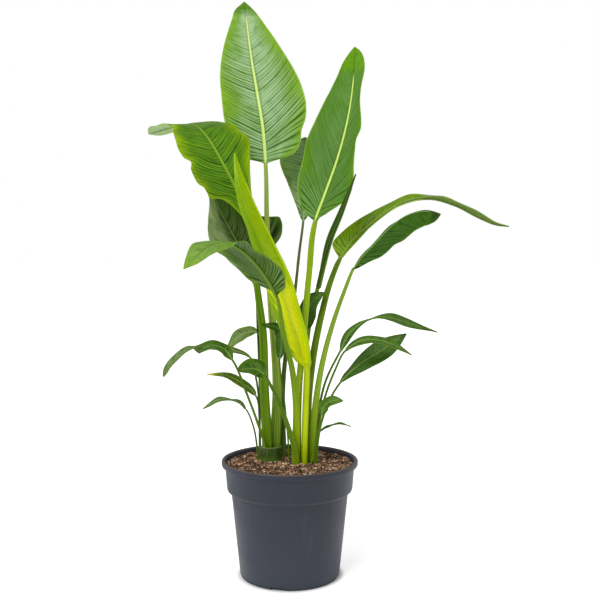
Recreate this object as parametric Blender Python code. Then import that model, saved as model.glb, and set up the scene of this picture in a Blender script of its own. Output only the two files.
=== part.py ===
"""Potted travelers palm: a nursery pot, its peat, and two clumps of long-stalked leaves.

Metres, +Z up. The origin is the centre of the pot's flat base, +X is to the right as the plant
is seen from the front, and +Y is away from the viewer. Every leaf is one solid with its own
stalk, which stands in its own hole in the peat.
"""
import math
from dataclasses import dataclass

import bmesh
import bpy
import numpy as np
from mathutils import Matrix, Vector, noise

# Pot
POT_HEIGHT = 0.206
RIM_RADIUS = 0.120
COLLAR_RADIUS = 0.115
COLLAR_FOOT_RADIUS = 0.1105
BODY_TOP_RADIUS = 0.103
BASE_RADIUS = 0.0875
LIP_HEIGHT = 0.010
COLLAR_FOOT = 0.1555
BODY_TOP = 0.1485
WALL = 0.002
FOOT_HEIGHT = 0.005
FOOT_RING_WIDTH = 0.008
HUB_RADIUS = 0.030
NOTCH_COUNT = 4
NOTCH_WIDTH = 0.025
NOTCH_HEIGHT = 0.004
NOTCH_FIRST_ANGLE = math.radians(-103)
ROUND_SEGMENTS = 48

# Peat
PEAT_EDGE_HEIGHT = 0.1975
PEAT_MOUND = 0.004
PEAT_LUMP = 0.0012
PEAT_LUMP_SPACING = 0.012
PEAT_PLAIN_EDGE = 0.008
PEAT_RINGS = 6
CLEARANCE = 0.0004

# Leaves
BLADE_THICKNESS = 0.0009
RIB_DEPTH = 1.6
RIB_TIP_THICKNESS = 0.0012
RIB_TIP_NARROWING = 0.7
RIB_WIDEST_SHARE = 0.3
TIP_HALF_WIDTH = 0.0012
BASE_BLEND = 0.06
WAVE_OFFSET = 0.12
DIRECTION_REACH = 0.004
ROOT_LENGTH = 0.055

# Cut sheath
SHEATH_CENTRE = (-0.034, 0.012)
SHEATH_RADII = (0.0185, 0.0160)
SHEATH_WALL = 0.0014
SHEATH_TOP = 0.2265
SHEATH_FOOT = 0.185
SHEATH_ARC = (175, 365)
SHEATH_STEPS = 16

# Colours
ANTHRACITE = (0.052, 0.056, 0.070)
PEAT_BROWN = (0.170, 0.095, 0.055)
GREEN = (0.085, 0.205, 0.022)
DARK_GREEN = (0.030, 0.085, 0.020)
LIME = (0.330, 0.480, 0.020)


@dataclass
class Leaf:
    """One leaf: hand-placed points of its stalk and midrib, and how its blade is shaped.

    stalk runs from the foot in the peat to the blade's base, rib from there to the tip. faces
    is where the upper face looks, at even steps from the base to the tip. half_width is that
    of both halves, outline the powers that round the base and taper the tip. edges, where a
    margin is lobed, gives points of the left and of the right half instead, seen on the upper
    face with the tip up: the share of the length and the half width. foot is the stalk's half
    width and half depth at the peat, neck its radius at the blade. fold is how far each half
    rises, in degrees, at the rib and at the margin. waves is the height of the left and right
    margin's waves and their number. flare is the power by which the stalk narrows upwards.
    rings counts stalk and blade rings; a blade with edges has a ring at each of their points.
    """
    name: str
    stalk: list
    rib: list
    faces: tuple
    foot: tuple
    neck: float
    half_width: float = 0.0
    outline: tuple = (0.5, 0.85)
    edges: tuple = None
    fold: tuple = (8, -6)
    waves: tuple = (0.003, 0.003, 3)
    flare: float = 1.2
    colour: tuple = GREEN
    rings: tuple = (9, 20)
    sides: int = 12


def small_leaf(name, stalk, rib, faces, half_width, foot, **changes):
    """A short leaf of a side shoot, with fewer rings and sides."""
    values = {"outline": (0.55, 0.8), "fold": (14, -4), "waves": (0.0012, 0.0012, 2)}
    values.update(neck=foot * 0.7, half_width=half_width, rings=(8, 11), sides=8)
    values.update(changes)
    return Leaf(name, stalk, rib, faces, (foot, foot), **values)


LEAVES = [
    Leaf(
        "leaf_tall_left",
        stalk=[(-0.029, 0.024, 0.160), (-0.027, 0.025, 0.215), (-0.023, 0.034, 0.325),
               (-0.035, 0.054, 0.485), (-0.042, 0.074, 0.610), (-0.045, 0.090, 0.730)],
        rib=[(-0.050, 0.101, 0.792), (-0.060, 0.115, 0.855), (-0.072, 0.131, 0.925),
             (-0.087, 0.155, 1.040)],
        faces=((0.05, -1.0, 0.15), (0.0, -1.0, 0.35)), foot=(0.0112, 0.0050), neck=0.0036,
        edges=(
            ((0, 0.004), (0.04, 0.018), (0.07, 0.036), (0.12, 0.058), (0.20, 0.066), (0.31, 0.068),
             (0.45, 0.066), (0.54, 0.064), (0.64, 0.058), (0.73, 0.049), (0.81, 0.039),
             (0.90, 0.027), (0.96, 0.018), (1, 0.001)),
            ((0, 0.012), (0.03, 0.041), (0.07, 0.058), (0.12, 0.067), (0.18, 0.071), (0.24, 0.081),
             (0.31, 0.086), (0.40, 0.085), (0.53, 0.077), (0.68, 0.058), (0.83, 0.036),
             (0.95, 0.014), (1, 0.001)))),
    Leaf(
        "leaf_tall_right",
        stalk=[(0.014, 0.007, 0.160), (0.014, 0.008, 0.215), (0.016, 0.012, 0.325),
               (0.025, 0.012, 0.432), (0.034, 0.020, 0.530), (0.045, 0.035, 0.623)],
        rib=[(0.063, 0.040, 0.673), (0.086, 0.045, 0.738), (0.104, 0.050, 0.808),
             (0.114, 0.050, 0.885), (0.115, 0.045, 0.932)],
        faces=((-0.64, -0.77, 0.15), (-0.64, -0.77, 0.15)), foot=(0.0070, 0.0048), neck=0.0040,
        fold=(20, 12), flare=0.3,
        edges=(
            ((0, 0.014), (0.03, 0.027), (0.07, 0.038), (0.14, 0.052), (0.22, 0.062), (0.34, 0.067),
             (0.51, 0.066), (0.61, 0.062), (0.70, 0.051), (0.75, 0.043), (0.82, 0.034),
             (0.93, 0.020), (0.97, 0.010), (1, 0.001)),
            ((0, 0.006), (0.07, 0.033), (0.11, 0.051), (0.16, 0.069), (0.24, 0.068), (0.35, 0.055),
             (0.42, 0.046), (0.49, 0.037), (0.55, 0.041), (0.60, 0.038), (0.71, 0.028),
             (0.80, 0.025), (0.87, 0.029), (0.91, 0.029), (0.95, 0.024), (0.98, 0.014),
             (1, 0.001)))),
    Leaf(
        "leaf_back",
        stalk=[(-0.012, 0.033, 0.160), (-0.012, 0.035, 0.215), (-0.014, 0.050, 0.300),
               (-0.006, 0.075, 0.400), (0.007, 0.095, 0.482), (0.017, 0.115, 0.571),
               (0.024, 0.125, 0.626)],
        rib=[(0.027, 0.130, 0.667), (0.029, 0.142, 0.720), (0.027, 0.170, 0.789)],
        faces=((-0.2, -1.0, 0.25), (-0.2, -1.0, 0.4)), foot=(0.0062, 0.0042), neck=0.0022,
        fold=(15, 0), colour=DARK_GREEN, rings=(9, 16),
        edges=(
            ((0, 0.002), (0.07, 0.008), (0.15, 0.0135), (0.24, 0.0205), (0.35, 0.0285),
             (0.45, 0.035), (0.60, 0.0455), (0.71, 0.049), (0.82, 0.043), (0.92, 0.027),
             (1, 0.001)),
            ((0, 0.002), (0.10, 0.012), (0.22, 0.026), (0.36, 0.038), (0.50, 0.044),
             (0.66, 0.044), (0.80, 0.036), (0.92, 0.022), (1, 0.001)))),
    Leaf(
        "leaf_left_arch",
        stalk=[(-0.040, 0.0135, 0.160), (-0.040, 0.014, 0.215), (-0.045, 0.014, 0.325),
               (-0.048, 0.020, 0.430), (-0.058, 0.030, 0.505), (-0.068, 0.040, 0.602)],
        rib=[(-0.089, 0.032, 0.667), (-0.118, 0.030, 0.725), (-0.154, 0.050, 0.782),
             (-0.178, 0.080, 0.801), (-0.218, 0.105, 0.799), (-0.265, 0.130, 0.790)],
        faces=((0.1, -1.0, 0.1), (0.15, -0.8, 0.55), (0.1, 0.3, 1.0)), foot=(0.0100, 0.0045),
        neck=0.0042, flare=0.8, waves=(0.0045, 0.001, 8.8), rings=(9, 24),
        edges=(
            ((0, 0.004), (0.10, 0.008), (0.15, 0.016), (0.19, 0.023), (0.23, 0.034), (0.25, 0.049),
             (0.29, 0.051), (0.32, 0.051), (0.35, 0.058), (0.38, 0.060), (0.42, 0.057),
             (0.46, 0.051), (0.48, 0.060), (0.51, 0.062), (0.55, 0.059), (0.60, 0.056),
             (0.68, 0.045), (0.76, 0.036), (0.84, 0.030), (0.92, 0.026), (0.97, 0.016),
             (1, 0.002)),
            ((0, 0.005), (0.14, 0.018), (0.22, 0.026), (0.29, 0.038), (0.37, 0.053), (0.45, 0.067),
             (0.51, 0.062), (0.58, 0.062), (0.64, 0.062), (0.69, 0.050), (0.72, 0.036),
             (0.80, 0.026), (0.86, 0.024), (0.92, 0.024), (0.97, 0.015), (1, 0.002)))),
    Leaf(
        "leaf_left_low",
        stalk=[(-0.045, 0.036, 0.160), (-0.046, 0.040, 0.215), (-0.054, 0.060, 0.320),
               (-0.059, 0.080, 0.425), (-0.066, 0.095, 0.508)],
        rib=[(-0.080, 0.100, 0.551), (-0.105, 0.105, 0.597), (-0.131, 0.110, 0.647),
             (-0.158, 0.130, 0.715)],
        faces=((0.64, -0.77, 0.1), (0.64, -0.77, 0.1)), foot=(0.0042, 0.0034), neck=0.0026,
        fold=(28, 14), colour=DARK_GREEN,
        edges=(
            ((0, 0.003), (0.09, 0.026), (0.19, 0.046), (0.31, 0.057), (0.36, 0.071), (0.42, 0.078),
             (0.48, 0.075), (0.54, 0.064), (0.61, 0.047), (0.67, 0.034), (0.71, 0.027),
             (0.79, 0.019), (0.90, 0.010), (1, 0.001)),
            ((0, 0.004), (0.10, 0.028), (0.18, 0.046), (0.23, 0.063), (0.26, 0.080), (0.31, 0.091),
             (0.37, 0.095), (0.42, 0.093), (0.455, 0.076), (0.50, 0.062), (0.62, 0.046),
             (0.75, 0.032), (0.88, 0.017), (1, 0.001)))),
    Leaf(
        "leaf_front_arch",
        stalk=[(0.011, -0.006, 0.160), (0.011, -0.008, 0.215), (0.011, -0.022, 0.313),
               (0.003, -0.036, 0.377), (-0.010, -0.052, 0.431), (-0.021, -0.067, 0.495)],
        rib=[(-0.045, -0.082, 0.539), (-0.081, -0.108, 0.576), (-0.098, -0.125, 0.585),
             (-0.123, -0.148, 0.579), (-0.162, -0.178, 0.544)],
        faces=((0.45, 0.75, 0.65), (-0.35, -0.6, 0.7)), foot=(0.0074, 0.0045), neck=0.0028,
        flare=0.8, waves=(0.003, 0.003, 4), rings=(9, 24),
        edges=(
            ((0, 0.004), (0.03, 0.012), (0.05, 0.023), (0.09, 0.030), (0.15, 0.039), (0.21, 0.044),
             (0.30, 0.036), (0.40, 0.031), (0.50, 0.036), (0.60, 0.038), (0.75, 0.034),
             (0.90, 0.018), (1, 0.001)),
            ((0, 0.003), (0.06, 0.008), (0.10, 0.021), (0.18, 0.038), (0.26, 0.051), (0.34, 0.057),
             (0.41, 0.053), (0.48, 0.052), (0.60, 0.046), (0.75, 0.038), (0.90, 0.020),
             (1, 0.001)))),
    Leaf(
        "leaf_young",
        stalk=[(0.0255, -0.014, 0.160), (0.0255, -0.015, 0.215), (0.028, -0.013, 0.310),
               (0.030, -0.011, 0.368)],
        rib=[(0.029, -0.011, 0.400), (0.016, -0.010, 0.470), (0.001, -0.012, 0.520),
             (-0.027, -0.016, 0.580), (-0.064, -0.022, 0.660), (-0.093, -0.026, 0.738)],
        faces=((-0.92, -0.36, 0.0), (-0.95, -0.2, 0.0)), foot=(0.0072, 0.0055), neck=0.0060,
        fold=(60, 48), waves=(0.0, 0.0, 1), colour=LIME, rings=(5, 20),
        edges=(
            ((0, 0.010), (0.05, 0.028), (0.10, 0.037), (0.15, 0.042), (0.21, 0.044), (0.27, 0.047),
             (0.34, 0.0465), (0.40, 0.046), (0.49, 0.040), (0.57, 0.036), (0.63, 0.0355),
             (0.69, 0.031), (0.74, 0.030), (0.81, 0.026), (0.87, 0.020), (0.935, 0.012),
             (1, 0.002)),
            ((0, 0.006), (0.10, 0.020), (0.30, 0.030), (0.50, 0.032), (0.70, 0.026), (0.85, 0.018),
             (0.95, 0.008), (1, 0.001)))),
    Leaf(
        "leaf_right_long",
        stalk=[(0.030, 0.011, 0.160), (0.030, 0.012, 0.215), (0.034, 0.022, 0.325),
               (0.056, 0.040, 0.455), (0.074, 0.050, 0.519), (0.090, 0.055, 0.557)],
        rib=[(0.111, 0.060, 0.587), (0.147, 0.065, 0.621), (0.196, 0.075, 0.655),
             (0.257, 0.090, 0.668), (0.304, 0.100, 0.656), (0.353, 0.110, 0.632),
             (0.383, 0.113, 0.620), (0.408, 0.115, 0.617)],
        faces=((-0.35, -0.75, 0.5), (0.1, 0.35, 1.0)), foot=(0.0080, 0.0048), neck=0.0036,
        flare=0.4, fold=(30, 20), waves=(0.002, 0.002, 5), rings=(9, 24),
        edges=(
            ((0, 0.014), (0.02, 0.022), (0.05, 0.027), (0.10, 0.026), (0.20, 0.023), (0.28, 0.016),
             (0.42, 0.015), (0.53, 0.014), (0.60, 0.016), (0.70, 0.019), (0.80, 0.018),
             (0.92, 0.010), (1, 0.001)),
            ((0, 0.004), (0.08, 0.013), (0.20, 0.015), (0.45, 0.012), (0.60, 0.012), (0.80, 0.011),
             (0.92, 0.007), (1, 0.001)))),
    Leaf(
        "leaf_right_low",
        stalk=[(0.038, -0.003, 0.160), (0.039, -0.004, 0.215), (0.046, -0.010, 0.310),
               (0.056, -0.020, 0.374), (0.075, -0.035, 0.450), (0.095, -0.050, 0.509),
               (0.107, -0.060, 0.541)],
        rib=[(0.146, -0.085, 0.589), (0.171, -0.100, 0.612), (0.184, -0.110, 0.627),
             (0.198, -0.120, 0.631), (0.221, -0.135, 0.635), (0.240, -0.145, 0.630)],
        faces=((-0.4, -0.75, 0.55), (-0.35, -0.6, 0.7)), foot=(0.0066, 0.0046), neck=0.0027,
        flare=0.8, fold=(-38, -44), waves=(0.002, 0.002, 3), colour=DARK_GREEN,
        edges=(
            ((0, 0.003), (0.10, 0.012), (0.30, 0.024), (0.50, 0.029), (0.70, 0.027), (0.85, 0.019),
             (0.95, 0.009), (1, 0.001)),
            ((0, 0.004), (0.07, 0.010), (0.19, 0.0175), (0.25, 0.022), (0.35, 0.0265),
             (0.43, 0.027), (0.49, 0.029), (0.58, 0.030), (0.68, 0.031), (0.77, 0.0275),
             (0.85, 0.0235), (0.93, 0.019), (0.98, 0.010), (1, 0.002)))),
    Leaf(
        "leaf_spear",
        stalk=[(0.025, 0.027, 0.160), (0.025, 0.030, 0.215), (0.028, 0.048, 0.340),
               (0.034, 0.052, 0.430), (0.049, 0.044, 0.503)],
        rib=[(0.059, 0.036, 0.541), (0.073, 0.016, 0.591), (0.091, -0.008, 0.636),
             (0.101, -0.024, 0.665), (0.112, -0.042, 0.701)],
        faces=((-1.0, -0.4, 0.2), (-1.0, -0.4, 0.2)), half_width=0.009, foot=(0.0042, 0.0036),
        neck=0.0038, outline=(0.3, 0.6), fold=(55, 40), waves=(0.0, 0.0, 1), colour=DARK_GREEN,
        rings=(8, 10), sides=8),
    small_leaf(
        "shoot_left_arch",
        stalk=[(-0.0435, 0.004, 0.160), (-0.0435, 0.0045, 0.215), (-0.046, 0.0035, 0.235),
               (-0.056, -0.007, 0.270), (-0.075, -0.017, 0.325), (-0.098, -0.030, 0.384)],
        rib=[(-0.128, -0.045, 0.408), (-0.146, -0.055, 0.406), (-0.158, -0.060, 0.394)],
        faces=((-0.3, -0.65, 0.7), (-0.4, -0.5, 0.7)), half_width=0.0135, foot=0.0021,
        outline=(0.55, 0.4)),
    small_leaf(
        "shoot_left_far",
        stalk=[(-0.053, 0.031, 0.160), (-0.054, 0.031, 0.215), (-0.062, 0.031, 0.350),
               (-0.070, 0.030, 0.380)],
        rib=[(-0.108, 0.030, 0.396), (-0.138, 0.030, 0.402), (-0.168, 0.030, 0.400),
             (-0.183, 0.029, 0.396), (-0.201, 0.026, 0.383), (-0.216, 0.022, 0.367),
             (-0.225, 0.020, 0.348)],
        faces=((-0.2, -0.6, 0.8), (-0.6, -0.5, 0.6)), half_width=0.012, foot=0.0020,
        outline=(0.5, 0.35), rings=(7, 14)),
    small_leaf(
        "shoot_left_back",
        stalk=[(-0.033, 0.042, 0.160), (-0.033, 0.044, 0.215), (-0.040, 0.056, 0.300),
               (-0.050, 0.065, 0.391), (-0.061, 0.070, 0.423)],
        rib=[(-0.074, 0.075, 0.423), (-0.089, 0.080, 0.418), (-0.118, 0.085, 0.389)],
        faces=((-0.1, -0.7, 0.7), (-0.5, -0.7, 0.5)), half_width=0.015, foot=0.0020),
    small_leaf(
        "shoot_front_folded",
        stalk=[(0.010, -0.022, 0.160), (0.009, -0.023, 0.215), (-0.004, -0.028, 0.269),
               (-0.029, -0.034, 0.334), (-0.044, -0.038, 0.360)],
        rib=[(-0.056, -0.042, 0.369), (-0.072, -0.048, 0.371), (-0.088, -0.056, 0.369)],
        faces=((0.0, -0.75, 0.65), (-0.1, -0.75, 0.65)), half_width=0.019, foot=0.0038,
        neck=0.0024, outline=(0.4, 0.7), fold=(30, 10)),
    small_leaf(
        "shoot_left_yellow",
        stalk=[(-0.053, 0.018, 0.160), (-0.053, 0.017, 0.215), (-0.054, 0.012, 0.272),
               (-0.060, 0.008, 0.316)],
        rib=[(-0.073, 0.000, 0.332), (-0.091, -0.005, 0.345), (-0.113, -0.010, 0.355),
             (-0.144, -0.012, 0.357)],
        faces=((-0.3, -0.7, 0.6), (-0.2, -0.5, 0.8)), half_width=0.0085, foot=0.0018,
        rings=(6, 10)),
    small_leaf(
        "shoot_left_lowest",
        stalk=[(-0.055, 0.005, 0.160), (-0.057, 0.004, 0.215), (-0.065, 0.000, 0.266),
               (-0.077, -0.005, 0.295)],
        rib=[(-0.087, -0.010, 0.307), (-0.100, -0.015, 0.313), (-0.121, -0.022, 0.314),
             (-0.150, -0.027, 0.299)],
        faces=((0.2, -0.5, 0.9), (-0.4, -0.4, 0.8)), half_width=0.006, foot=0.0016,
        rings=(5, 10),
        edges=2 * (((0, 0.0012), (0.12, 0.0045), (0.24, 0.0050), (0.38, 0.0022), (0.48, 0.0024),
                    (0.64, 0.0055), (0.80, 0.0050), (1, 0.0008)),)),
    small_leaf(
        "shoot_middle",
        stalk=[(-0.001, 0.010, 0.160), (-0.002, 0.012, 0.215), (-0.010, 0.018, 0.309),
               (-0.018, 0.022, 0.379)],
        rib=[(-0.015, 0.023, 0.406), (-0.019, 0.022, 0.432), (-0.050, 0.014, 0.442)],
        faces=((-0.6, -0.7, 0.3), (-0.3, -0.7, 0.6)), half_width=0.012, foot=0.0018),
    small_leaf(
        "shoot_back_middle",
        stalk=[(0.008, 0.022, 0.160), (0.010, 0.022, 0.215), (0.020, 0.028, 0.330),
               (0.029, 0.036, 0.430)],
        rib=[(0.030, 0.038, 0.455), (0.040, 0.034, 0.482), (0.061, 0.030, 0.498)],
        faces=((-0.3, -1.0, 0.3), (-0.5, -0.9, 0.3)), half_width=0.018, foot=0.0020,
        colour=DARK_GREEN),
    small_leaf(
        "shoot_right_long",
        stalk=[(0.042, 0.012, 0.160), (0.043, 0.012, 0.215), (0.048, 0.015, 0.263),
               (0.065, 0.025, 0.343), (0.089, 0.030, 0.391)],
        rib=[(0.108, 0.035, 0.425), (0.129, 0.040, 0.443), (0.153, 0.045, 0.452),
             (0.180, 0.050, 0.451), (0.208, 0.055, 0.442), (0.268, 0.060, 0.424)],
        faces=((-0.3, -0.5, 0.8), (0.3, -0.5, 0.8)), half_width=0.013, foot=0.0021,
        rings=(7, 16),
        edges=2 * (((0, 0.0015), (0.08, 0.0080), (0.16, 0.0100), (0.28, 0.0060), (0.42, 0.0025),
                    (0.50, 0.0080), (0.57, 0.0130), (0.70, 0.0135), (0.83, 0.0087),
                    (0.93, 0.0040), (1, 0.0008)),)),
    small_leaf(
        "shoot_right_middle",
        stalk=[(0.046, 0.003, 0.160), (0.047, 0.002, 0.215), (0.051, 0.000, 0.266),
               (0.080, -0.010, 0.366), (0.096, -0.015, 0.398)],
        rib=[(0.113, -0.020, 0.411), (0.135, -0.025, 0.419), (0.159, -0.030, 0.417),
             (0.182, -0.035, 0.409), (0.209, -0.040, 0.394)],
        faces=((-0.3, -0.5, 0.8), (0.3, -0.5, 0.8)), half_width=0.011, foot=0.0019,
        rings=(7, 13)),
    small_leaf(
        "shoot_right_broad",
        stalk=[(0.043, -0.013, 0.160), (0.045, -0.012, 0.215), (0.055, -0.006, 0.275),
               (0.073, 0.000, 0.316), (0.088, 0.003, 0.339)],
        rib=[(0.124, 0.010, 0.372), (0.160, 0.015, 0.394), (0.181, 0.018, 0.408),
             (0.207, 0.020, 0.425)],
        faces=((-0.4, -0.8, 0.4), (-0.4, -0.8, 0.4)), half_width=0.020, foot=0.0020,
        rings=(7, 13),
        edges=(
            ((0, 0.0015), (0.12, 0.006), (0.20, 0.007), (0.30, 0.011), (0.45, 0.0175),
             (0.60, 0.020), (0.75, 0.017), (0.88, 0.010), (1, 0.0008)),
            ((0, 0.0015), (0.12, 0.008), (0.30, 0.0155), (0.45, 0.019), (0.60, 0.021),
             (0.75, 0.0185), (0.88, 0.011), (1, 0.0008)))),
    small_leaf(
        "shoot_right_low",
        stalk=[(0.036, -0.021, 0.160), (0.039, -0.021, 0.215), (0.047, -0.022, 0.250),
               (0.055, -0.027, 0.288)],
        rib=[(0.061, -0.030, 0.306), (0.075, -0.038, 0.315), (0.092, -0.045, 0.316)],
        faces=((-0.3, -0.8, 0.5), (-0.3, -0.7, 0.6)), half_width=0.011, foot=0.0017,
        rings=(5, 9)),
    small_leaf(
        "shoot_right_thread",
        stalk=[(0.044, 0.022, 0.160), (0.045, 0.021, 0.215), (0.053, 0.012, 0.252)],
        rib=[(0.064, 0.006, 0.2605), (0.078, 0.001, 0.2665), (0.093, -0.004, 0.2685),
             (0.107, -0.008, 0.2645)],
        faces=((-0.3, -0.4, 0.8), (0.1, -0.4, 0.8)), half_width=0.0032, foot=0.0012,
        rings=(4, 8)),
]


def clear_scene():
    for thing in list(bpy.data.objects):
        bpy.data.objects.remove(thing, do_unlink=True)


def finish(name, colour, roughness, metallic=0.0):
    """A plain material with the given colour, roughness and metallic value."""
    material = bpy.data.materials.new(name)
    material.use_nodes = True
    shader = material.node_tree.nodes["Principled BSDF"]
    shader.inputs["Base Color"].default_value = (*colour, 1.0)
    shader.inputs["Roughness"].default_value = roughness
    shader.inputs["Metallic"].default_value = metallic
    return material


def object_from(name, builder, material=None):
    """Turn a bmesh into a named object and free the bmesh."""
    mesh = bpy.data.meshes.new(name)
    builder.to_mesh(mesh)
    builder.free()
    piece = bpy.data.objects.new(name, mesh)
    if material:
        mesh.materials.append(material)
    bpy.context.collection.objects.link(piece)
    return piece


def turned(profile):
    """Spin a profile of (radius, height) points, which starts and ends on the axis."""
    builder = bmesh.new()
    points = [builder.verts.new((radius, 0.0, height)) for radius, height in profile]
    edges = [builder.edges.new(pair) for pair in zip(points, points[1:])]
    bmesh.ops.spin(
        builder, geom=points + edges, cent=(0, 0, 0), axis=(0, 0, 1),
        angle=2 * math.pi, steps=ROUND_SEGMENTS, use_duplicate=False)
    bmesh.ops.remove_doubles(builder, verts=builder.verts, dist=1e-5)
    bmesh.ops.recalc_face_normals(builder, faces=builder.faces)
    return builder


def add_loft(builder, rings):
    """Skin rings of equal length, split alike on their two faces, and cap both ends."""
    rows = [[builder.verts.new(point) for point in ring] for ring in rings]
    count = len(rows[0])
    half = count // 2
    for low, high in zip(rows, rows[1:]):
        for here in range(count):
            there = (here + 1) % count
            if here < half:
                builder.faces.new((low[here], low[there], high[there]))
                builder.faces.new((low[here], high[there], high[here]))
            else:
                builder.faces.new((low[here], low[there], high[here]))
                builder.faces.new((low[there], high[there], high[here]))
    for row in (rows[0], rows[-1]):
        for here in range(half - 1):
            across = (row[count - 2 - here], row[count - 1 - here])
            builder.faces.new((row[here], row[here + 1], across[0]))
            builder.faces.new((row[here], across[0], across[1]))


def lofted(rings):
    builder = bmesh.new()
    add_loft(builder, rings)
    bmesh.ops.recalc_face_normals(builder, faces=builder.faces)
    return builder


def cut(piece, builder):
    """Take the closed shapes in a bmesh out of a piece."""
    cutter = object_from("cutter", builder)
    cutter.hide_render = True
    cutter.display_type = "WIRE"
    difference = piece.modifiers.new("cut", "BOOLEAN")
    difference.operation = "DIFFERENCE"
    difference.solver = "EXACT"
    difference.object = cutter
    carved = bpy.data.meshes.new_from_object(
        piece.evaluated_get(bpy.context.evaluated_depsgraph_get()))
    piece.modifiers.clear()
    piece.data = carved
    bpy.data.objects.remove(cutter, do_unlink=True)


# Pot: one moulding with a rolled lip, a wide collar, a tapered body and a notched foot ring
def wall_radius(height):
    """Outside radius of the pot's wall at a height, between the foot and the lip."""
    if height >= COLLAR_FOOT:
        share = (height - COLLAR_FOOT) / (POT_HEIGHT - COLLAR_FOOT)
        return COLLAR_FOOT_RADIUS + (COLLAR_RADIUS - COLLAR_FOOT_RADIUS) * share
    if height >= BODY_TOP:
        share = (height - BODY_TOP) / (COLLAR_FOOT - BODY_TOP)
        return BODY_TOP_RADIUS + (COLLAR_FOOT_RADIUS - BODY_TOP_RADIUS) * share
    return BASE_RADIUS + (BODY_TOP_RADIUS - BASE_RADIUS) * height / BODY_TOP


def inside_profile(gap, top):
    """Inside of the pot from a height at its wall to the middle of its floor, less a gap."""
    floor = FOOT_HEIGHT + WALL
    inset = WALL + gap
    return [
        (wall_radius(top) - inset, top),
        (wall_radius(COLLAR_FOOT) - inset, COLLAR_FOOT),
        (wall_radius(BODY_TOP) - inset, BODY_TOP),
        (wall_radius(floor) - inset, floor + gap),
        (HUB_RADIUS - gap, floor + gap),
        (HUB_RADIUS - WALL - gap, WALL + gap),
        (0.0, WALL + gap),
    ]


def make_pot():
    foot_inside = BASE_RADIUS - FOOT_RING_WIDTH
    lip_foot = POT_HEIGHT - LIP_HEIGHT
    outside = [
        (0.0, 0.0),
        (HUB_RADIUS, 0.0),
        (HUB_RADIUS + WALL, FOOT_HEIGHT),
        (foot_inside - WALL, FOOT_HEIGHT),
        (foot_inside, 0.0),
        (BASE_RADIUS - 0.003, 0.0),
        (BASE_RADIUS - 0.0005, 0.0015),
        (wall_radius(FOOT_HEIGHT), FOOT_HEIGHT),
        (wall_radius(BODY_TOP), BODY_TOP),
        (BODY_TOP_RADIUS + 0.0012, BODY_TOP + 0.0025),
        (COLLAR_FOOT_RADIUS - 0.0013, COLLAR_FOOT - 0.003),
        (COLLAR_FOOT_RADIUS, COLLAR_FOOT),
        (wall_radius(lip_foot) - 0.0003, lip_foot - 0.0015),
        (RIM_RADIUS - 0.0008, lip_foot),
        (RIM_RADIUS, lip_foot + 0.002),
        (RIM_RADIUS, POT_HEIGHT - 0.0025),
        (RIM_RADIUS - 0.0012, POT_HEIGHT - 0.0005),
        (RIM_RADIUS - 0.003, POT_HEIGHT),
        (COLLAR_RADIUS - 0.0005, POT_HEIGHT - 0.001),
    ]
    pot = object_from(
        "pot", turned(outside + inside_profile(0.0, POT_HEIGHT - 0.003)),
        finish("pot", ANTHRACITE, 0.45))
    notches = bmesh.new()
    for index in range(NOTCH_COUNT):
        angle = NOTCH_FIRST_ANGLE + index * 2 * math.pi / NOTCH_COUNT
        place = Matrix.Rotation(angle, 4, "Z") @ Matrix.Translation((BASE_RADIUS - WALL, 0, 0))
        size = Matrix.Diagonal((2.5 * FOOT_RING_WIDTH, NOTCH_WIDTH, 2 * NOTCH_HEIGHT, 1))
        bmesh.ops.create_cube(notches, size=1.0, matrix=place @ size)
    cut(pot, notches)
    return pot


# Leaves: a stalk that flattens into a blade, skinned as one solid from ring to ring
def smooth_curve(points, steps=24):
    """A smooth curve through the points: its samples, their distances and the points' own."""
    knots = np.array(points)
    gaps = np.linalg.norm(np.diff(knots, axis=0), axis=1)
    slopes = np.diff(knots, axis=0) / gaps[:, None]
    before, after = gaps[:-1, None], gaps[1:, None]
    inner = (slopes[:-1] * after + slopes[1:] * before) / (before + after)
    tangents = np.vstack([slopes[:1], inner, slopes[-1:]])
    share = np.linspace(0, 1, steps, endpoint=False)[:, None]
    spans = []
    for index, gap in enumerate(gaps):
        start, end = knots[index], knots[index + 1]
        leave, arrive = tangents[index] * gap, tangents[index + 1] * gap
        spans.append(
            start * (1 + 2 * share) * (1 - share) ** 2 + leave * share * (1 - share) ** 2
            + end * share ** 2 * (3 - 2 * share) + arrive * share ** 2 * (share - 1))
    samples = np.vstack(spans + [knots[-1:]])
    distances = np.append(0, np.cumsum(np.linalg.norm(np.diff(samples, axis=0), axis=1)))
    return samples, distances, distances[::steps]


def blade_shares(leaf):
    """Shares of the blade's length where its rings stand: close at both ends, or as its edges."""
    if leaf.edges:
        return np.array(sorted({share for edge in leaf.edges for share, _ in edge} - {0}))
    angles = np.linspace(0, math.pi, leaf.rings[1] + 1)[1:]
    return 0.5 - 0.5 * np.cos(angles)


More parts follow.
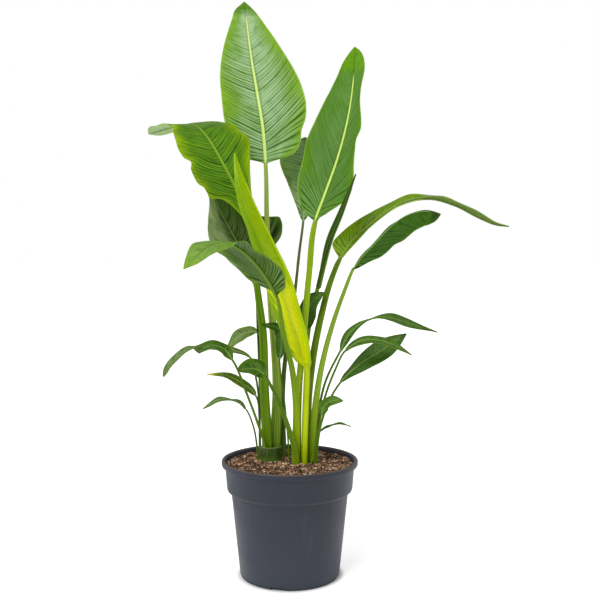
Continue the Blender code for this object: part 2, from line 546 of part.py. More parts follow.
def frames(leaf):
    """Each ring's centre, direction, upper face, and how far along stalk and blade it is."""
    samples, distances, marks = smooth_curve(leaf.stalk + leaf.rib)
    base, tip = marks[len(leaf.stalk) - 1], marks[-1]
    stalk = np.append(0, np.linspace(ROOT_LENGTH, base, leaf.rings[0] - 1))
    blade = base + (tip - base) * blade_shares(leaf)
    faces = np.array(leaf.faces)
    steps = np.linspace(0, 1, len(faces))
    for where in np.append(stalk, blade):
        centre = Vector([np.interp(where, distances, column) for column in samples.T])
        near = min(where + DIRECTION_REACH, tip)
        ahead = Vector([np.interp(near, distances, column) for column in samples.T])
        back = max(where - DIRECTION_REACH, 0)
        behind = Vector([np.interp(back, distances, column) for column in samples.T])
        direction = (ahead - behind).normalized()
        up_stalk = min(where / base, 1)
        up_blade = max((where - base) / (tip - base), 0)
        face = Vector([np.interp(up_blade, steps, column) for column in faces.T])
        face = (face - direction * face.dot(direction)).normalized()
        yield centre, direction, face, up_stalk, up_blade


def stalk_ring(leaf, centre, direction, face, up_stalk, grow=0.0):
    """An oval across the stalk, wider towards the foot."""
    across = direction.cross(face)
    flare = (1 - up_stalk) ** leaf.flare
    half_width = leaf.neck + (leaf.foot[0] - leaf.neck) * flare + grow
    half_depth = leaf.neck + (leaf.foot[1] - leaf.neck) * flare + grow
    ring = []
    for index in range(leaf.sides):
        angle = math.pi - (index + 0.5) * 2 * math.pi / leaf.sides
        ring.append(centre + across * half_width * math.cos(angle)
                    + face * half_depth * math.sin(angle))
    return ring


def swell(along, rounding, taper):
    """Share of the full half width at a share of the blade's length."""
    widest = rounding / (rounding + taper)
    peak = widest ** rounding * (1 - widest) ** taper
    return along ** rounding * (1 - along) ** taper / peak


def half_widths(leaf, up_blade):
    """Half widths of the left and right half at a share of the blade's length."""
    if leaf.edges:
        return [np.interp(up_blade, *zip(*edge)) for edge in leaf.edges]
    return [leaf.half_width * swell(up_blade, *leaf.outline)] * 2


def blade_ring(leaf, centre, direction, face, up_blade):
    """A section across the blade: the upper face from left to right, then the under face."""
    across = direction.cross(face)
    *heights, count = leaf.waves
    rib_thickness = leaf.neck * RIB_DEPTH * (1 - up_blade) + RIB_TIP_THICKNESS
    start, end = (math.radians(angle) for angle in leaf.fold)
    top, bottom = [], []
    shares = [1, 0.5, 0.0] if leaf.sides > 8 else [1, 0.0]
    for side, half_width, height in zip((-1, 1), half_widths(leaf, up_blade), heights):
        least = leaf.neck * (1 - up_blade) + TIP_HALF_WIDTH * up_blade
        width = max(half_width, least)
        rib_width = leaf.neck * (1 - RIB_TIP_NARROWING * up_blade)
        rib_share = min(rib_width / width, RIB_WIDEST_SHARE)
        edge_wave = math.sin(2 * math.pi * (count * up_blade + side * WAVE_OFFSET))
        edge_wave *= height * math.sin(math.pi * up_blade)
        for share in (shares if side < 0 else shares[::-1]):
            is_rib = share == 0.0
            share = max(share, rib_share)
            lean = start + (end - start) * share
            mean = start + (end - start) * share / 2
            out = side * width * share * math.cos(mean)
            rise = width * share * math.sin(mean) + edge_wave * share ** 2
            normal = across * (-side * math.sin(lean)) + face * math.cos(lean)
            middle = centre + across * out + face * rise
            below = rib_thickness if is_rib else BLADE_THICKNESS / 2
            top.append(middle + normal * BLADE_THICKNESS / 2)
            bottom.append(middle - normal * below)
    return top + bottom[::-1]


def leaf_rings(leaf):
    """All rings of a leaf, with the stalk's oval turning into the blade at its base."""
    rings = []
    for centre, direction, face, up_stalk, up_blade in frames(leaf):
        ring = stalk_ring(leaf, centre, direction, face, up_stalk)
        if up_blade > 0:
            blend = min(up_blade / BASE_BLEND, 1)
            blend = blend * blend * (3 - 2 * blend)
            blade = blade_ring(leaf, centre, direction, face, up_blade)
            ring = [round_point.lerp(flat_point, blend)
                    for round_point, flat_point in zip(ring, blade)]
        rings.append(ring)
    return rings


def make_leaf(leaf):
    return object_from(leaf.name, lofted(leaf_rings(leaf)), finish(leaf.name, leaf.colour, 0.4))


def hole_rings(leaf):
    """The straight root of a stalk, in and just above the peat, with a clear gap all round."""
    rings = []
    for centre, direction, face, up_stalk, _ in list(frames(leaf))[:2]:
        if not rings:
            centre = centre - direction * CLEARANCE
        rings.append(stalk_ring(leaf, centre, direction, face, up_stalk, CLEARANCE))
    return rings


# Cut sheath: the stub of an old leaf base that was cut off round the front of one clump
def sheath_rings(grow=0.0):
    """Upright rectangles through the sheath's wall, one for each step round its arc."""
    rings = []
    first, last = (math.radians(angle) for angle in SHEATH_ARC)
    overrun = grow / SHEATH_RADII[0]
    half_wall = SHEATH_WALL / 2 + grow
    for step in range(SHEATH_STEPS + 1):
        angle = first + (last - first) * step / SHEATH_STEPS
        if step == 0:
            angle -= overrun
        if step == SHEATH_STEPS:
            angle += overrun
        outward = Vector((math.cos(angle), math.sin(angle), 0))
        middle = Vector((
            SHEATH_CENTRE[0] + SHEATH_RADII[0] * outward.x,
            SHEATH_CENTRE[1] + SHEATH_RADII[1] * outward.y, 0))
        low = Vector((0, 0, SHEATH_FOOT - grow))
        high = Vector((0, 0, SHEATH_TOP))
        rings.append([
            middle + outward * half_wall + low,
            middle + outward * half_wall + high,
            middle - outward * half_wall + high,
            middle - outward * half_wall + low,
        ])
    return rings


# Peat: it fills the pot to just under the lip, lumpy and a little mounded
def make_peat():
    wall = inside_profile(CLEARANCE, PEAT_EDGE_HEIGHT)
    edge_radius = wall[0][0]
    surface = []
    for ring in range(PEAT_RINGS):
        share = ring / PEAT_RINGS
        rise = PEAT_MOUND * (1 - math.cos(math.pi * share)) / 2
        surface.append((edge_radius * (1 - share), PEAT_EDGE_HEIGHT + rise))
    surface.append((0.0, PEAT_EDGE_HEIGHT + PEAT_MOUND))
    builder = turned(surface[::-1] + wall[1:])
    for point in builder.verts:
        radius = math.hypot(point.co.x, point.co.y)
        if point.co.z > PEAT_EDGE_HEIGHT and radius < edge_radius - PEAT_PLAIN_EDGE:
            point.co.z += PEAT_LUMP * noise.noise(point.co / PEAT_LUMP_SPACING)
    bmesh.ops.triangulate(builder, faces=builder.faces)
    peat = object_from("peat", builder, finish("peat", PEAT_BROWN, 0.95))
    holes = bmesh.new()
    for leaf in LEAVES:
        add_loft(holes, hole_rings(leaf))
    add_loft(holes, sheath_rings(CLEARANCE))
    bmesh.ops.recalc_face_normals(holes, faces=holes.faces)
    cut(peat, holes)
    return peat


clear_scene()
make_pot()
make_peat()
object_from("cut_sheath", lofted(sheath_rings()), finish("cut_sheath", DARK_GREEN, 0.5))
for plant_leaf in LEAVES:
    make_leaf(plant_leaf)
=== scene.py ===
import math
from dataclasses import dataclass

import bpy
import numpy as np
from mathutils import Matrix, Vector, noise


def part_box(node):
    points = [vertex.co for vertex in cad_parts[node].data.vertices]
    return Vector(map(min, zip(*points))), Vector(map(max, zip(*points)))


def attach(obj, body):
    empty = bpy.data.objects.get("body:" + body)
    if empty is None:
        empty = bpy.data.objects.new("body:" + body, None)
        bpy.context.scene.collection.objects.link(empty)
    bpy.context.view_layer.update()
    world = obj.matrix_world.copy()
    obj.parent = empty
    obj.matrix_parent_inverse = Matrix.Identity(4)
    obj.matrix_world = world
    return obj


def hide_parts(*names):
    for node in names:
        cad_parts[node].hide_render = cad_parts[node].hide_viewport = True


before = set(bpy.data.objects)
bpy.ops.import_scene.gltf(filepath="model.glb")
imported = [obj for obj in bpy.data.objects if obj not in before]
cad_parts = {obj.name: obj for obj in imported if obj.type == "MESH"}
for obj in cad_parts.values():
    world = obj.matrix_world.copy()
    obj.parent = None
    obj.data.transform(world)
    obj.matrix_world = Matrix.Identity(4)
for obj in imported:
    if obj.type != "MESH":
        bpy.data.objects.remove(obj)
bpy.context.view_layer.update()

bpy.ops.object.select_all(action="DESELECT")


# Pot: one injection-moulded polypropylene shell in dull anthracite. A rolled lip stiffens the
# wide collar, the step under it lets pots nest, and notches in the foot ring let water out.
POT_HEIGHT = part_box("pot")[1].z
RIM_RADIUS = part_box("pot")[1].x
COLLAR_RADIUS = 0.115
COLLAR_FOOT_RADIUS = 0.1105
BODY_TOP_RADIUS = 0.103
BASE_RADIUS = 0.0875
LIP_HEIGHT = 0.010
COLLAR_FOOT = 0.1555
BODY_TOP = 0.1485
WALL = 0.002
FOOT_HEIGHT = 0.005
FOOT_RING_WIDTH = 0.008
HUB_RADIUS = 0.030
NOTCH_COUNT = 4
NOTCH_LENGTH = 0.020
NOTCH_WIDTH = 0.025
NOTCH_HEIGHT = 0.0048
NOTCH_FIRST_ANGLE = math.radians(-103)
POT_SEGMENTS = 160
EDGE_ROUNDING = 0.0006
ROUNDED_ANGLE = math.radians(14)
POT_SHARP_ANGLE = 24


def wall_radius(height):
    """Outside radius of the pot's wall at a height, between the foot and the lip."""
    if height >= COLLAR_FOOT:
        share = (height - COLLAR_FOOT) / (POT_HEIGHT - COLLAR_FOOT)
        return COLLAR_FOOT_RADIUS + (COLLAR_RADIUS - COLLAR_FOOT_RADIUS) * share
    if height >= BODY_TOP:
        share = (height - BODY_TOP) / (COLLAR_FOOT - BODY_TOP)
        return BODY_TOP_RADIUS + (COLLAR_FOOT_RADIUS - BODY_TOP_RADIUS) * share
    return BASE_RADIUS + (BODY_TOP_RADIUS - BASE_RADIUS) * height / BODY_TOP


def inside_profile(gap, top):
    """Inside of the pot from a height at its wall to the hub of its floor, less a gap."""
    floor = FOOT_HEIGHT + WALL
    inset = WALL + gap
    return [
        (wall_radius(top) - inset, top),
        (wall_radius(COLLAR_FOOT) - inset, COLLAR_FOOT),
        (wall_radius(BODY_TOP) - inset, BODY_TOP),
        (wall_radius(floor) - inset, floor + gap),
        (HUB_RADIUS - gap, floor + gap),
        (HUB_RADIUS - WALL - gap, WALL + gap),
    ]


def turned(name, profile, segments):
    """Model a round piece: a disc is extruded and scaled from ring to ring of its profile."""
    bpy.ops.object.select_all(action="DESELECT")
    radius, height = profile[0]
    bpy.ops.mesh.primitive_circle_add(
        vertices=segments, radius=radius, fill_type="NGON", location=(0, 0, height))
    piece = bpy.context.object
    piece.name = piece.data.name = name
    bpy.ops.object.transform_apply(location=True, rotation=False, scale=False)
    bpy.ops.object.mode_set(mode="EDIT")
    bpy.ops.mesh.select_all(action="SELECT")
    for (radius, height), (next_radius, next_height) in zip(profile, profile[1:]):
        bpy.ops.mesh.extrude_region_move(
            TRANSFORM_OT_translate={"value": (0, 0, next_height - height)})
        growth = next_radius / radius
        bpy.ops.transform.resize(
            value=(growth, growth, 1), center_override=(0, 0, next_height))
    bpy.ops.mesh.select_all(action="SELECT")
    bpy.ops.mesh.normals_make_consistent(inside=False)
    bpy.ops.object.mode_set(mode="OBJECT")
    return piece


def apply_modifier(piece, kind, **settings):
    """Add a modifier with these settings and apply it."""
    bpy.context.view_layer.objects.active = piece
    modifier = piece.modifiers.new(kind.lower(), kind)
    for setting, value in settings.items():
        setattr(modifier, setting, value)
    bpy.ops.object.modifier_apply(modifier=modifier.name)


def smooth(piece, degrees):
    """Shade a piece smooth but for its edges sharper than this."""
    bpy.ops.object.select_all(action="DESELECT")
    piece.select_set(True)
    bpy.context.view_layer.objects.active = piece
    bpy.ops.object.shade_smooth_by_angle(angle=math.radians(degrees))


def mount(piece, finish, slot, *nodes):
    """Give a piece its material and let it stand for its CAD nodes."""
    piece.data.materials.clear()
    piece.data.materials.append(finish)
    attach(piece, "root")
    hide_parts(*nodes)


def paint(red, green, blue):
    """A colour as read off a screen, from 0 to 255, as the shader's linear one."""
    linear = [(part / 255 / 12.92) if part < 11 else ((part / 255 + 0.055) / 1.055) ** 2.4
              for part in (red, green, blue)]
    return (*linear, 1.0)


def feed(node, inputs):
    """Give a node's sockets their values, or link them to other sockets."""
    for key, value in inputs.items():
        if isinstance(value, bpy.types.NodeSocket):
            node.id_data.links.new(value, node.inputs[key])
        else:
            node.inputs[key].default_value = value


def place(tree, kind, inputs, **settings):
    """Add a shader node with its settings and inputs."""
    node = tree.nodes.new(kind)
    for setting, value in settings.items():
        setattr(node, setting, value)
    feed(node, inputs)
    return node


def place_on_piece(tree):
    """Object coordinates: where a point of the surface is on its own piece."""
    return place(tree, "ShaderNodeTexCoord", {}).outputs["Object"]


def height_of(spot):
    return place(spot.id_data, "ShaderNodeSeparateXYZ", {0: spot}).outputs[2]


def drawn_out(spot, scale, detail, roughness):
    """Noise drawn out along one axis, as rubbing and fibres are."""
    run = place(spot.id_data, "ShaderNodeMapping", {"Vector": spot, "Scale": scale})
    return speckle(run.outputs[0], 1.0, detail, roughness)


def owner(*values):
    """The shader tree of the first socket among some sockets and numbers."""
    return next(value.id_data for value in values if isinstance(value, bpy.types.NodeSocket))


def mix(share, first, second, blend="MIX"):
    """Blend two colours; sockets 0, 6 and 7 are a colour mix's share and its two colours."""
    node = place(owner(share, first, second), "ShaderNodeMix", {}, data_type="RGBA",
                 blend_type=blend)
    feed(node, {0: share, 6: first, 7: second})
    return node.outputs[2]


def darker(share, colour, shade):
    return mix(share, colour, shade, "MULTIPLY")


def sums(operation, first, second=0.0, clamp=False):
    """One step of arithmetic."""
    node = place(owner(first, second), "ShaderNodeMath", {0: first, 1: second},
                 operation=operation, use_clamp=clamp)
    return node.outputs[0]


def times(first, second):
    return sums("MULTIPLY", first, second)


def plus(first, second):
    return sums("ADD", first, second)


def minus(first, second):
    return sums("SUBTRACT", first, second)


def rise(value, low, high):
    """0 below low, 1 above high and a smooth step between; a high below low falls instead."""
    node = place(owner(value, low, high), "ShaderNodeMapRange", {0: value, 1: low, 2: high},
                 interpolation_type="SMOOTHSTEP")
    return node.outputs[0]


def speckle(vector, scale, detail=3.0, roughness=0.5):
    """A noise value over a vector."""
    node = place(vector.id_data, "ShaderNodeTexNoise", {
        "Vector": vector, "Scale": scale, "Detail": detail, "Roughness": roughness})
    return node.outputs["Fac"]


def new_group(name, inputs, outputs):
    """A shader node group with named sockets: its tree, its inputs and its output node."""
    group = bpy.data.node_groups.new(name, "ShaderNodeTree")
    kinds = {"colour": "NodeSocketColor", "value": "NodeSocketFloat"}
    for label, kind in inputs.items():
        group.interface.new_socket(name=label, in_out="INPUT", socket_type=kinds[kind])
    for label, kind in outputs.items():
        group.interface.new_socket(name=label, in_out="OUTPUT", socket_type=kinds[kind])
    source = group.nodes.new("NodeGroupInput").outputs
    return group, source, group.nodes.new("NodeGroupOutput")


def new_finish(name, roughness=0.5):
    """A material with a Principled shader: the material, its tree and its shader."""
    finish = bpy.data.materials.new(name)
    finish.use_nodes = True
    shader = finish.node_tree.nodes["Principled BSDF"]
    shader.inputs["Roughness"].default_value = roughness
    return finish, finish.node_tree, shader


def relieve(shader, height, strength, distance):
    """Let a height map tilt the surface a little."""
    relief = place(shader.id_data, "ShaderNodeBump", {
        "Strength": strength, "Distance": distance, "Height": height})
    feed(shader, {"Normal": relief.outputs[0]})


def wear_group():
    """Patches, fine grain and upright rubbing, as masks over object coordinates."""
    group, _, output = new_group(
        "handling_wear", {}, {"Patches": "value", "Grain": "value", "Rubbing": "value"})
    spot = place_on_piece(group)
    patches = rise(speckle(spot, 16.0, 5.0), 0.42, 0.7)
    grain = speckle(spot, 1400.0, 2.0)
    rubbing = rise(drawn_out(spot, (60, 60, 6), 4.0, 0.6), 0.55, 0.8)
    feed(output, {"Patches": patches, "Grain": grain, "Rubbing": rubbing})
    return group


HANDLING_WEAR = wear_group()
FOOT_COLOUR = paint(48, 52, 63)
WALL_COLOUR = paint(41, 44, 55)
SCUFF_COLOUR = paint(68, 72, 82)
FADED_COLOUR = paint(55, 59, 70)
DUST_COLOUR = paint(98, 88, 78)
FOOT_FADE_HEIGHT = 0.17
SCUFFS = 0.25
FADING = 0.2
STEP_DUST = 0.12
DUST_EDGE = 0.001
DUST_COVER = 0.9
DUST_LEAST = 0.25
POT_ROUGHNESS = 0.46
PATCH_ROUGHNESS = 0.14
POT_SHINE = 0.25
POT_RELIEF = (0.25, 0.0002)


def pot_finish():
    """Dull dark plastic, dusty on its lip and step, with faint scuffs up its wall."""
    finish, tree, shader = new_finish("anthracite_plastic")
    wear = place(tree, "ShaderNodeGroup", {}, node_tree=HANDLING_WEAR).outputs
    spot = place_on_piece(tree)
    height = height_of(spot)
    colour = mix(rise(height, 0.0, FOOT_FADE_HEIGHT), FOOT_COLOUR, WALL_COLOUR)
    colour = mix(times(wear["Rubbing"], SCUFFS), colour, SCUFF_COLOUR)
    colour = mix(times(wear["Patches"], FADING), colour, FADED_COLOUR)
    step = times(rise(height, BODY_TOP - DUST_EDGE, BODY_TOP + DUST_EDGE),
                 rise(height, COLLAR_FOOT, COLLAR_FOOT - 3 * DUST_EDGE))
    lip = rise(height, POT_HEIGHT - 3 * DUST_EDGE, POT_HEIGHT - DUST_EDGE / 2)
    dust = sums("MAXIMUM", times(step, STEP_DUST), lip)
    dust = times(dust, plus(wear["Grain"], DUST_LEAST))
    colour = mix(sums("MULTIPLY", dust, DUST_COVER, True), colour, DUST_COLOUR)
    roughness = plus(times(wear["Patches"], PATCH_ROUGHNESS), POT_ROUGHNESS)
    feed(shader, {"Base Color": colour, "Roughness": roughness, "Specular IOR Level": POT_SHINE})
    relieve(shader, wear["Grain"], *POT_RELIEF)
    return finish


def make_pot():
    """Turn the pot with small steps and slants at its foot, step and lip, then cut its notches."""
    foot_inside = BASE_RADIUS - FOOT_RING_WIDTH
    lip_foot = POT_HEIGHT - LIP_HEIGHT
    outside = [
        (HUB_RADIUS, 0.0),
        (HUB_RADIUS + WALL, FOOT_HEIGHT),
        (foot_inside - WALL, FOOT_HEIGHT),
        (foot_inside, 0.0),
        (BASE_RADIUS - 0.003, 0.0),
        (BASE_RADIUS - 0.0005, 0.0015),
        (wall_radius(FOOT_HEIGHT), FOOT_HEIGHT),
        (wall_radius(BODY_TOP), BODY_TOP),
        (BODY_TOP_RADIUS + 0.0012, BODY_TOP + 0.0025),
        (COLLAR_FOOT_RADIUS - 0.0013, COLLAR_FOOT - 0.003),
        (COLLAR_FOOT_RADIUS, COLLAR_FOOT),
        (wall_radius(lip_foot) - 0.0003, lip_foot - 0.0015),
        (RIM_RADIUS - 0.0008, lip_foot),
        (RIM_RADIUS, lip_foot + 0.002),
        (RIM_RADIUS, POT_HEIGHT - 0.0025),
        (RIM_RADIUS - 0.0012, POT_HEIGHT - 0.0005),
        (RIM_RADIUS - 0.003, POT_HEIGHT),
        (COLLAR_RADIUS - 0.0005, POT_HEIGHT - 0.001),
    ]
    pot = turned("nursery_pot", outside + inside_profile(0.0, POT_HEIGHT - 0.003), POT_SEGMENTS)
    apply_modifier(pot, "BEVEL", width=EDGE_ROUNDING, segments=2, limit_method="ANGLE",
                   angle_limit=ROUNDED_ANGLE)
    for index in range(NOTCH_COUNT):
        angle = NOTCH_FIRST_ANGLE + index * 2 * math.pi / NOTCH_COUNT
        reach = BASE_RADIUS - WALL
        bpy.ops.mesh.primitive_cube_add(
            size=1, location=(reach * math.cos(angle), reach * math.sin(angle), 0),
            rotation=(0, 0, angle), scale=(NOTCH_LENGTH, NOTCH_WIDTH, 2 * NOTCH_HEIGHT))
        notch = bpy.context.object
        apply_modifier(pot, "BOOLEAN", object=notch, operation="DIFFERENCE", solver="EXACT")
        bpy.data.objects.remove(notch, do_unlink=True)
    smooth(pot, POT_SHARP_ANGLE)
    mount(pot, pot_finish(), "pot", "pot")


make_pot()


# Peat: loose potting compost of brown peat crumbs and pale fibres. It fills the pot to just under
# its lip, settled at the wall and a little mounded round the stalks.
PEAT_EDGE_HEIGHT = 0.1975
PEAT_MOUND = 0.004
PEAT_GAP = 0.0002
PEAT_RADIUS = inside_profile(PEAT_GAP, PEAT_EDGE_HEIGHT)[0][0]
PEAT_RING_STEP = 0.0018
PEAT_LUMP = 0.0016
PEAT_LUMP_SPACING = 0.014
PEAT_GRAIN = 0.0009
PEAT_GRAIN_SPACING = 0.0035
CRUMB_COUNT = 5200
CRUMB_SIZES = (0.0009, 0.0030)
CRUMB_SIZE_POWER = 2.5
CRUMB_STRETCH = np.array([1.0, 0.75, 0.5])
CRUMB_STRETCH_CHANGE = (-0.15, 0.25)
CRUMB_TILT = 0.5
CRUMB_UNEVENNESS = (0.8, 1.2)
CRUMB_SHADE_ODDS = (2.2, 2.6)
CRUMB_LIFT = 0.15
CRUMB_WALL_GAP = 0.002
CRUMB_SEED = 24
FIBRE_SHARE = 0.08
FIBRE_STRETCH = np.array([3.2, 0.35, 0.3])
FIBRE_SIZE = 1.3 * CRUMB_SIZES[0]
# The bed shows between the crumbs; its darker tone is painted shade in those hollows.
BED_PAINTED_SHADE = 0.28
BED_SHADE_CHANGE = 0.3
PEAT_SHARP_ANGLE = 60
PEAT_ROUGHNESS = 0.95
PEAT_RELIEF = (0.6, 0.0004)
# Noise: scale, detail and roughness
PEAT_FINE = (900.0, 4.0, 0.7)
PEAT_CLUMPS = (45.0, 2.0)
PEAT_FINE_SHARE = 0.7
PEAT_SHADES = (
    (0.0, paint(12, 7, 4)), (0.35, paint(84, 56, 36)), (0.6, paint(176, 130, 96)),
    (1.0, paint(250, 226, 196)))


def peat_height(x, y):
    """Height of the peat's surface: a low mound with lumps and grain."""
    share = 1 - min(math.hypot(x, y) / PEAT_RADIUS, 1)
    mound = PEAT_MOUND * (1 - math.cos(math.pi * share)) / 2
    flat = Vector((x, y, 0))
    lumps = PEAT_LUMP * noise.noise(flat / PEAT_LUMP_SPACING)
    grain = PEAT_GRAIN * noise.noise(flat / PEAT_GRAIN_SPACING)
    return PEAT_EDGE_HEIGHT + mound + lumps + grain


def peat_finish():
    """Dull brown crumbs, each with a tone of its own, and painted shade in the hollows between."""
    finish, tree, shader = new_finish("potting_peat", PEAT_ROUGHNESS)
    shade = place(tree, "ShaderNodeAttribute", {}, attribute_name="shade").outputs["Fac"]
    spot = place_on_piece(tree)
    fine, clumps = speckle(spot, *PEAT_FINE), speckle(spot, *PEAT_CLUMPS)
    grain = plus(times(minus(fine, 0.5), PEAT_FINE_SHARE), minus(clumps, 0.5))
    ramp = place(tree, "ShaderNodeValToRGB", {"Fac": plus(shade, grain)})
    stops = ramp.color_ramp.elements
    for index, (where, colour) in enumerate(PEAT_SHADES):
        stop = stops[index] if index < 2 else stops.new(where)
        stop.position, stop.color = where, colour
    feed(shader, {"Base Color": ramp.outputs[0]})
    relieve(shader, fine, *PEAT_RELIEF)
    return finish


def set_attribute(mesh, name, values):
    """Store one number for each vertex of a mesh."""
    layer = mesh.attributes.new(name, "FLOAT", "POINT")
    layer.data.foreach_set("value", np.asarray(values, dtype=np.float32).ravel())


def crumb_shape(chance, corners):
    """One squashed and turned copy of the stone, or a thin fibre, and its size."""
    smallest, largest = CRUMB_SIZES
    size = smallest + (largest - smallest) * chance.random() ** CRUMB_SIZE_POWER
    stretch = CRUMB_STRETCH + chance.uniform(*CRUMB_STRETCH_CHANGE, 3)
    if chance.random() < FIBRE_SHARE:
        stretch, size = FIBRE_STRETCH, FIBRE_SIZE
    spin = Matrix.Rotation(chance.random() * 2 * math.pi, 3, "Z")
    lean = Matrix.Rotation(chance.uniform(-CRUMB_TILT, CRUMB_TILT), 3, "Y")
    crumb = corners * stretch * chance.uniform(*CRUMB_UNEVENNESS, corners.shape)
    return crumb @ np.array(spin @ lean).T * size, size


def scatter_crumbs(chance):
    """Copies of one low-faced stone, each squashed, turned, sized and set on the surface."""
    bpy.ops.mesh.primitive_ico_sphere_add(subdivisions=1, radius=1.0)
    stone = bpy.context.object
    corners = np.array([point.co for point in stone.data.vertices])
    faces = np.array([face.vertices[:] for face in stone.data.polygons])
    bpy.data.objects.remove(stone, do_unlink=True)
    points, shades = [], []
    for _ in range(CRUMB_COUNT):
        reach = (PEAT_RADIUS - CRUMB_WALL_GAP) * math.sqrt(chance.random())
        angle = chance.random() * 2 * math.pi
        x, y = reach * math.cos(angle), reach * math.sin(angle)
        crumb, size = crumb_shape(chance, corners)
        points.append(crumb + (x, y, peat_height(x, y) + size * CRUMB_LIFT))
        shades.append(np.full(len(corners), chance.beta(*CRUMB_SHADE_ODDS)))
    offsets = np.arange(CRUMB_COUNT)[:, None, None] * len(corners)
    crumbs = bpy.data.meshes.new("peat_crumbs")
    crumbs.from_pydata(
        np.vstack(points).tolist(), [], (faces[None] + offsets).reshape(-1, 3).tolist())
    set_attribute(crumbs, "shade", np.concatenate(shades))
    piece = bpy.data.objects.new("peat_crumbs", crumbs)
    bpy.context.collection.objects.link(piece)
    return piece


def make_peat():
    """Turn the bed, lift its surface into crumbly soil and strew crumbs over it."""
    wall = inside_profile(PEAT_GAP, PEAT_EDGE_HEIGHT)[::-1]
    count = int(PEAT_RADIUS / PEAT_RING_STEP)
    surface = [(PEAT_RADIUS * (1 - ring / count), PEAT_EDGE_HEIGHT) for ring in range(1, count)]
    bed = turned("peat_bed", wall + surface, POT_SEGMENTS)
    low = PEAT_EDGE_HEIGHT - PEAT_GAP
    top = [point for point in bed.data.vertices if point.co.z > low]
    for point in top:
        if point.co.xy.length < PEAT_RADIUS - PEAT_RING_STEP / 2:
            point.co.z = peat_height(point.co.x, point.co.y)
    # The bed is darker than the crumbs: painted shade in the gaps between them.
    shades = [BED_PAINTED_SHADE + BED_SHADE_CHANGE * noise.noise(point.co / PEAT_GRAIN_SPACING)
              for point in bed.data.vertices]
    set_attribute(bed.data, "shade", shades)
    smooth(bed, PEAT_SHARP_ANGLE)
    finish = peat_finish()
    mount(bed, finish, "peat", "peat")
    crumbs = scatter_crumbs(np.random.default_rng(CRUMB_SEED))
    mount(crumbs, finish, "peat", "peat")


make_peat()


# Leaves: each is one growth, a channelled stalk that runs on as the midrib of a thin blade.
# The blade is lightly pleated along its veins, which leave the midrib and sweep forwards.
BLADE_THICKNESS = 0.0007
TIP_HALF_WIDTH = 0.0012
BASE_BLEND = 0.035
STALK_STEP = 0.006
STALK_CHANNEL_DEPTH = 0.3
STALK_CHANNEL_WIDTH = 0.55
DIRECTION_REACH = 0.004
SEAM_GAP = 1e-6
LEAF_SHARP_ANGLE = 50

# Midrib: its depth, half width and groove at the base are in radii of the stalk
RIB_DEPTH = 1.6
RIB_HALF_WIDTH = 0.65
RIB_GROOVE = 0.25
RIB_TIP_THICKNESS = 0.0012
RIB_TIP_NARROWING = 0.7
RIB_WIDEST_SHARE = 0.3
RIB_SHOULDER = 0.5
KEEL_SLOPE = 0.55

# Veins, pleats and waves: shares of the blade's length or of its half width, and sine rates
FIRST_COLUMN = 0.02
ROWS_PER_VEIN = 5
ROW_CROWDING = 0.6
SWEEP_RAMP = 0.18
SWEEP_CURVE = 1.2
WAVE_OFFSET = 0.12
VEIN_SHIFTS = ((0.22, 2.1, 0.0), (0.18, 0.83, 1.0))
PLEAT_CREASE = 0.3
PLEAT_HEIGHTS = (0.65, 0.35, 1.37)
PLEAT_FROM_RIB = 0.12
PLEAT_LOSS_AT_MARGIN = 0.4
PLEAT_FROM_BASE = 0.06
PLEAT_FROM_TIP = 0.1


@dataclass
class Leaf:
    """One leaf: given points of its stalk and midrib, and how its blade is shaped.

    Lengths are given in millimetres. stalk runs from the foot in the peat to the blade's base,
    rib from there to the tip. faces is where the upper face looks, at even steps from the base
    to the tip. half_widths are left and right, seen on the upper face with the tip up. foot is
    the stalk's half width and half depth at the peat, neck its radius at the blade. outline
    holds the powers that round the base and taper the tip. edges, where a margin is lobed,
    gives points of the left and of the right half instead, or one row for both: the percent
    of the length and the half width. fold is how far each half rises, in degrees, at the rib
    and at the margin. waves is the height of the left and right margin's waves and their
    number. flare is the power by which the stalk narrows upwards. veins holds their spacing
    and the pleats' height, and sweep how far they run forward on the left and right half.
    """
    name: str
    look: str
    stalk: list
    rib: list
    faces: tuple
    half_widths: tuple
    foot: tuple
    neck: float
    outline: tuple = (0.5, 0.85)
    fold: tuple = (8, -6)
    waves: tuple = (3, 3, 3)
    flare: float = 1.2
    veins: tuple = (5, 0.09)
    sweep: tuple = (1.0, 1.0)
    edges: tuple = ()
    columns: int = 14

    def __post_init__(self):
        """Turn millimetres into metres and percents into shares."""
        for name in ("stalk", "rib", "half_widths", "foot", "neck", "veins"):
            setattr(self, name, np.array(getattr(self, name)) / 1000)
        self.waves = np.array(self.waves) / (1000, 1000, 1)
        self.edges = [np.array(edge) / (100, 1000) for edge in self.edges]


def small_leaf(name, look, stalk, rib, faces, half_width, foot, **changes):
    """A short leaf of a side shoot, finer veined and with fewer columns."""
    values = {"outline": (0.55, 0.8), "fold": (14, -4), "waves": (1.2, 1.2, 2),
              "neck": foot * 0.7, "veins": (3.6, 0.1), "columns": 7}
    values.update(changes)
    return Leaf(name, look, stalk, rib, faces, (half_width, half_width), (foot, foot), **values)


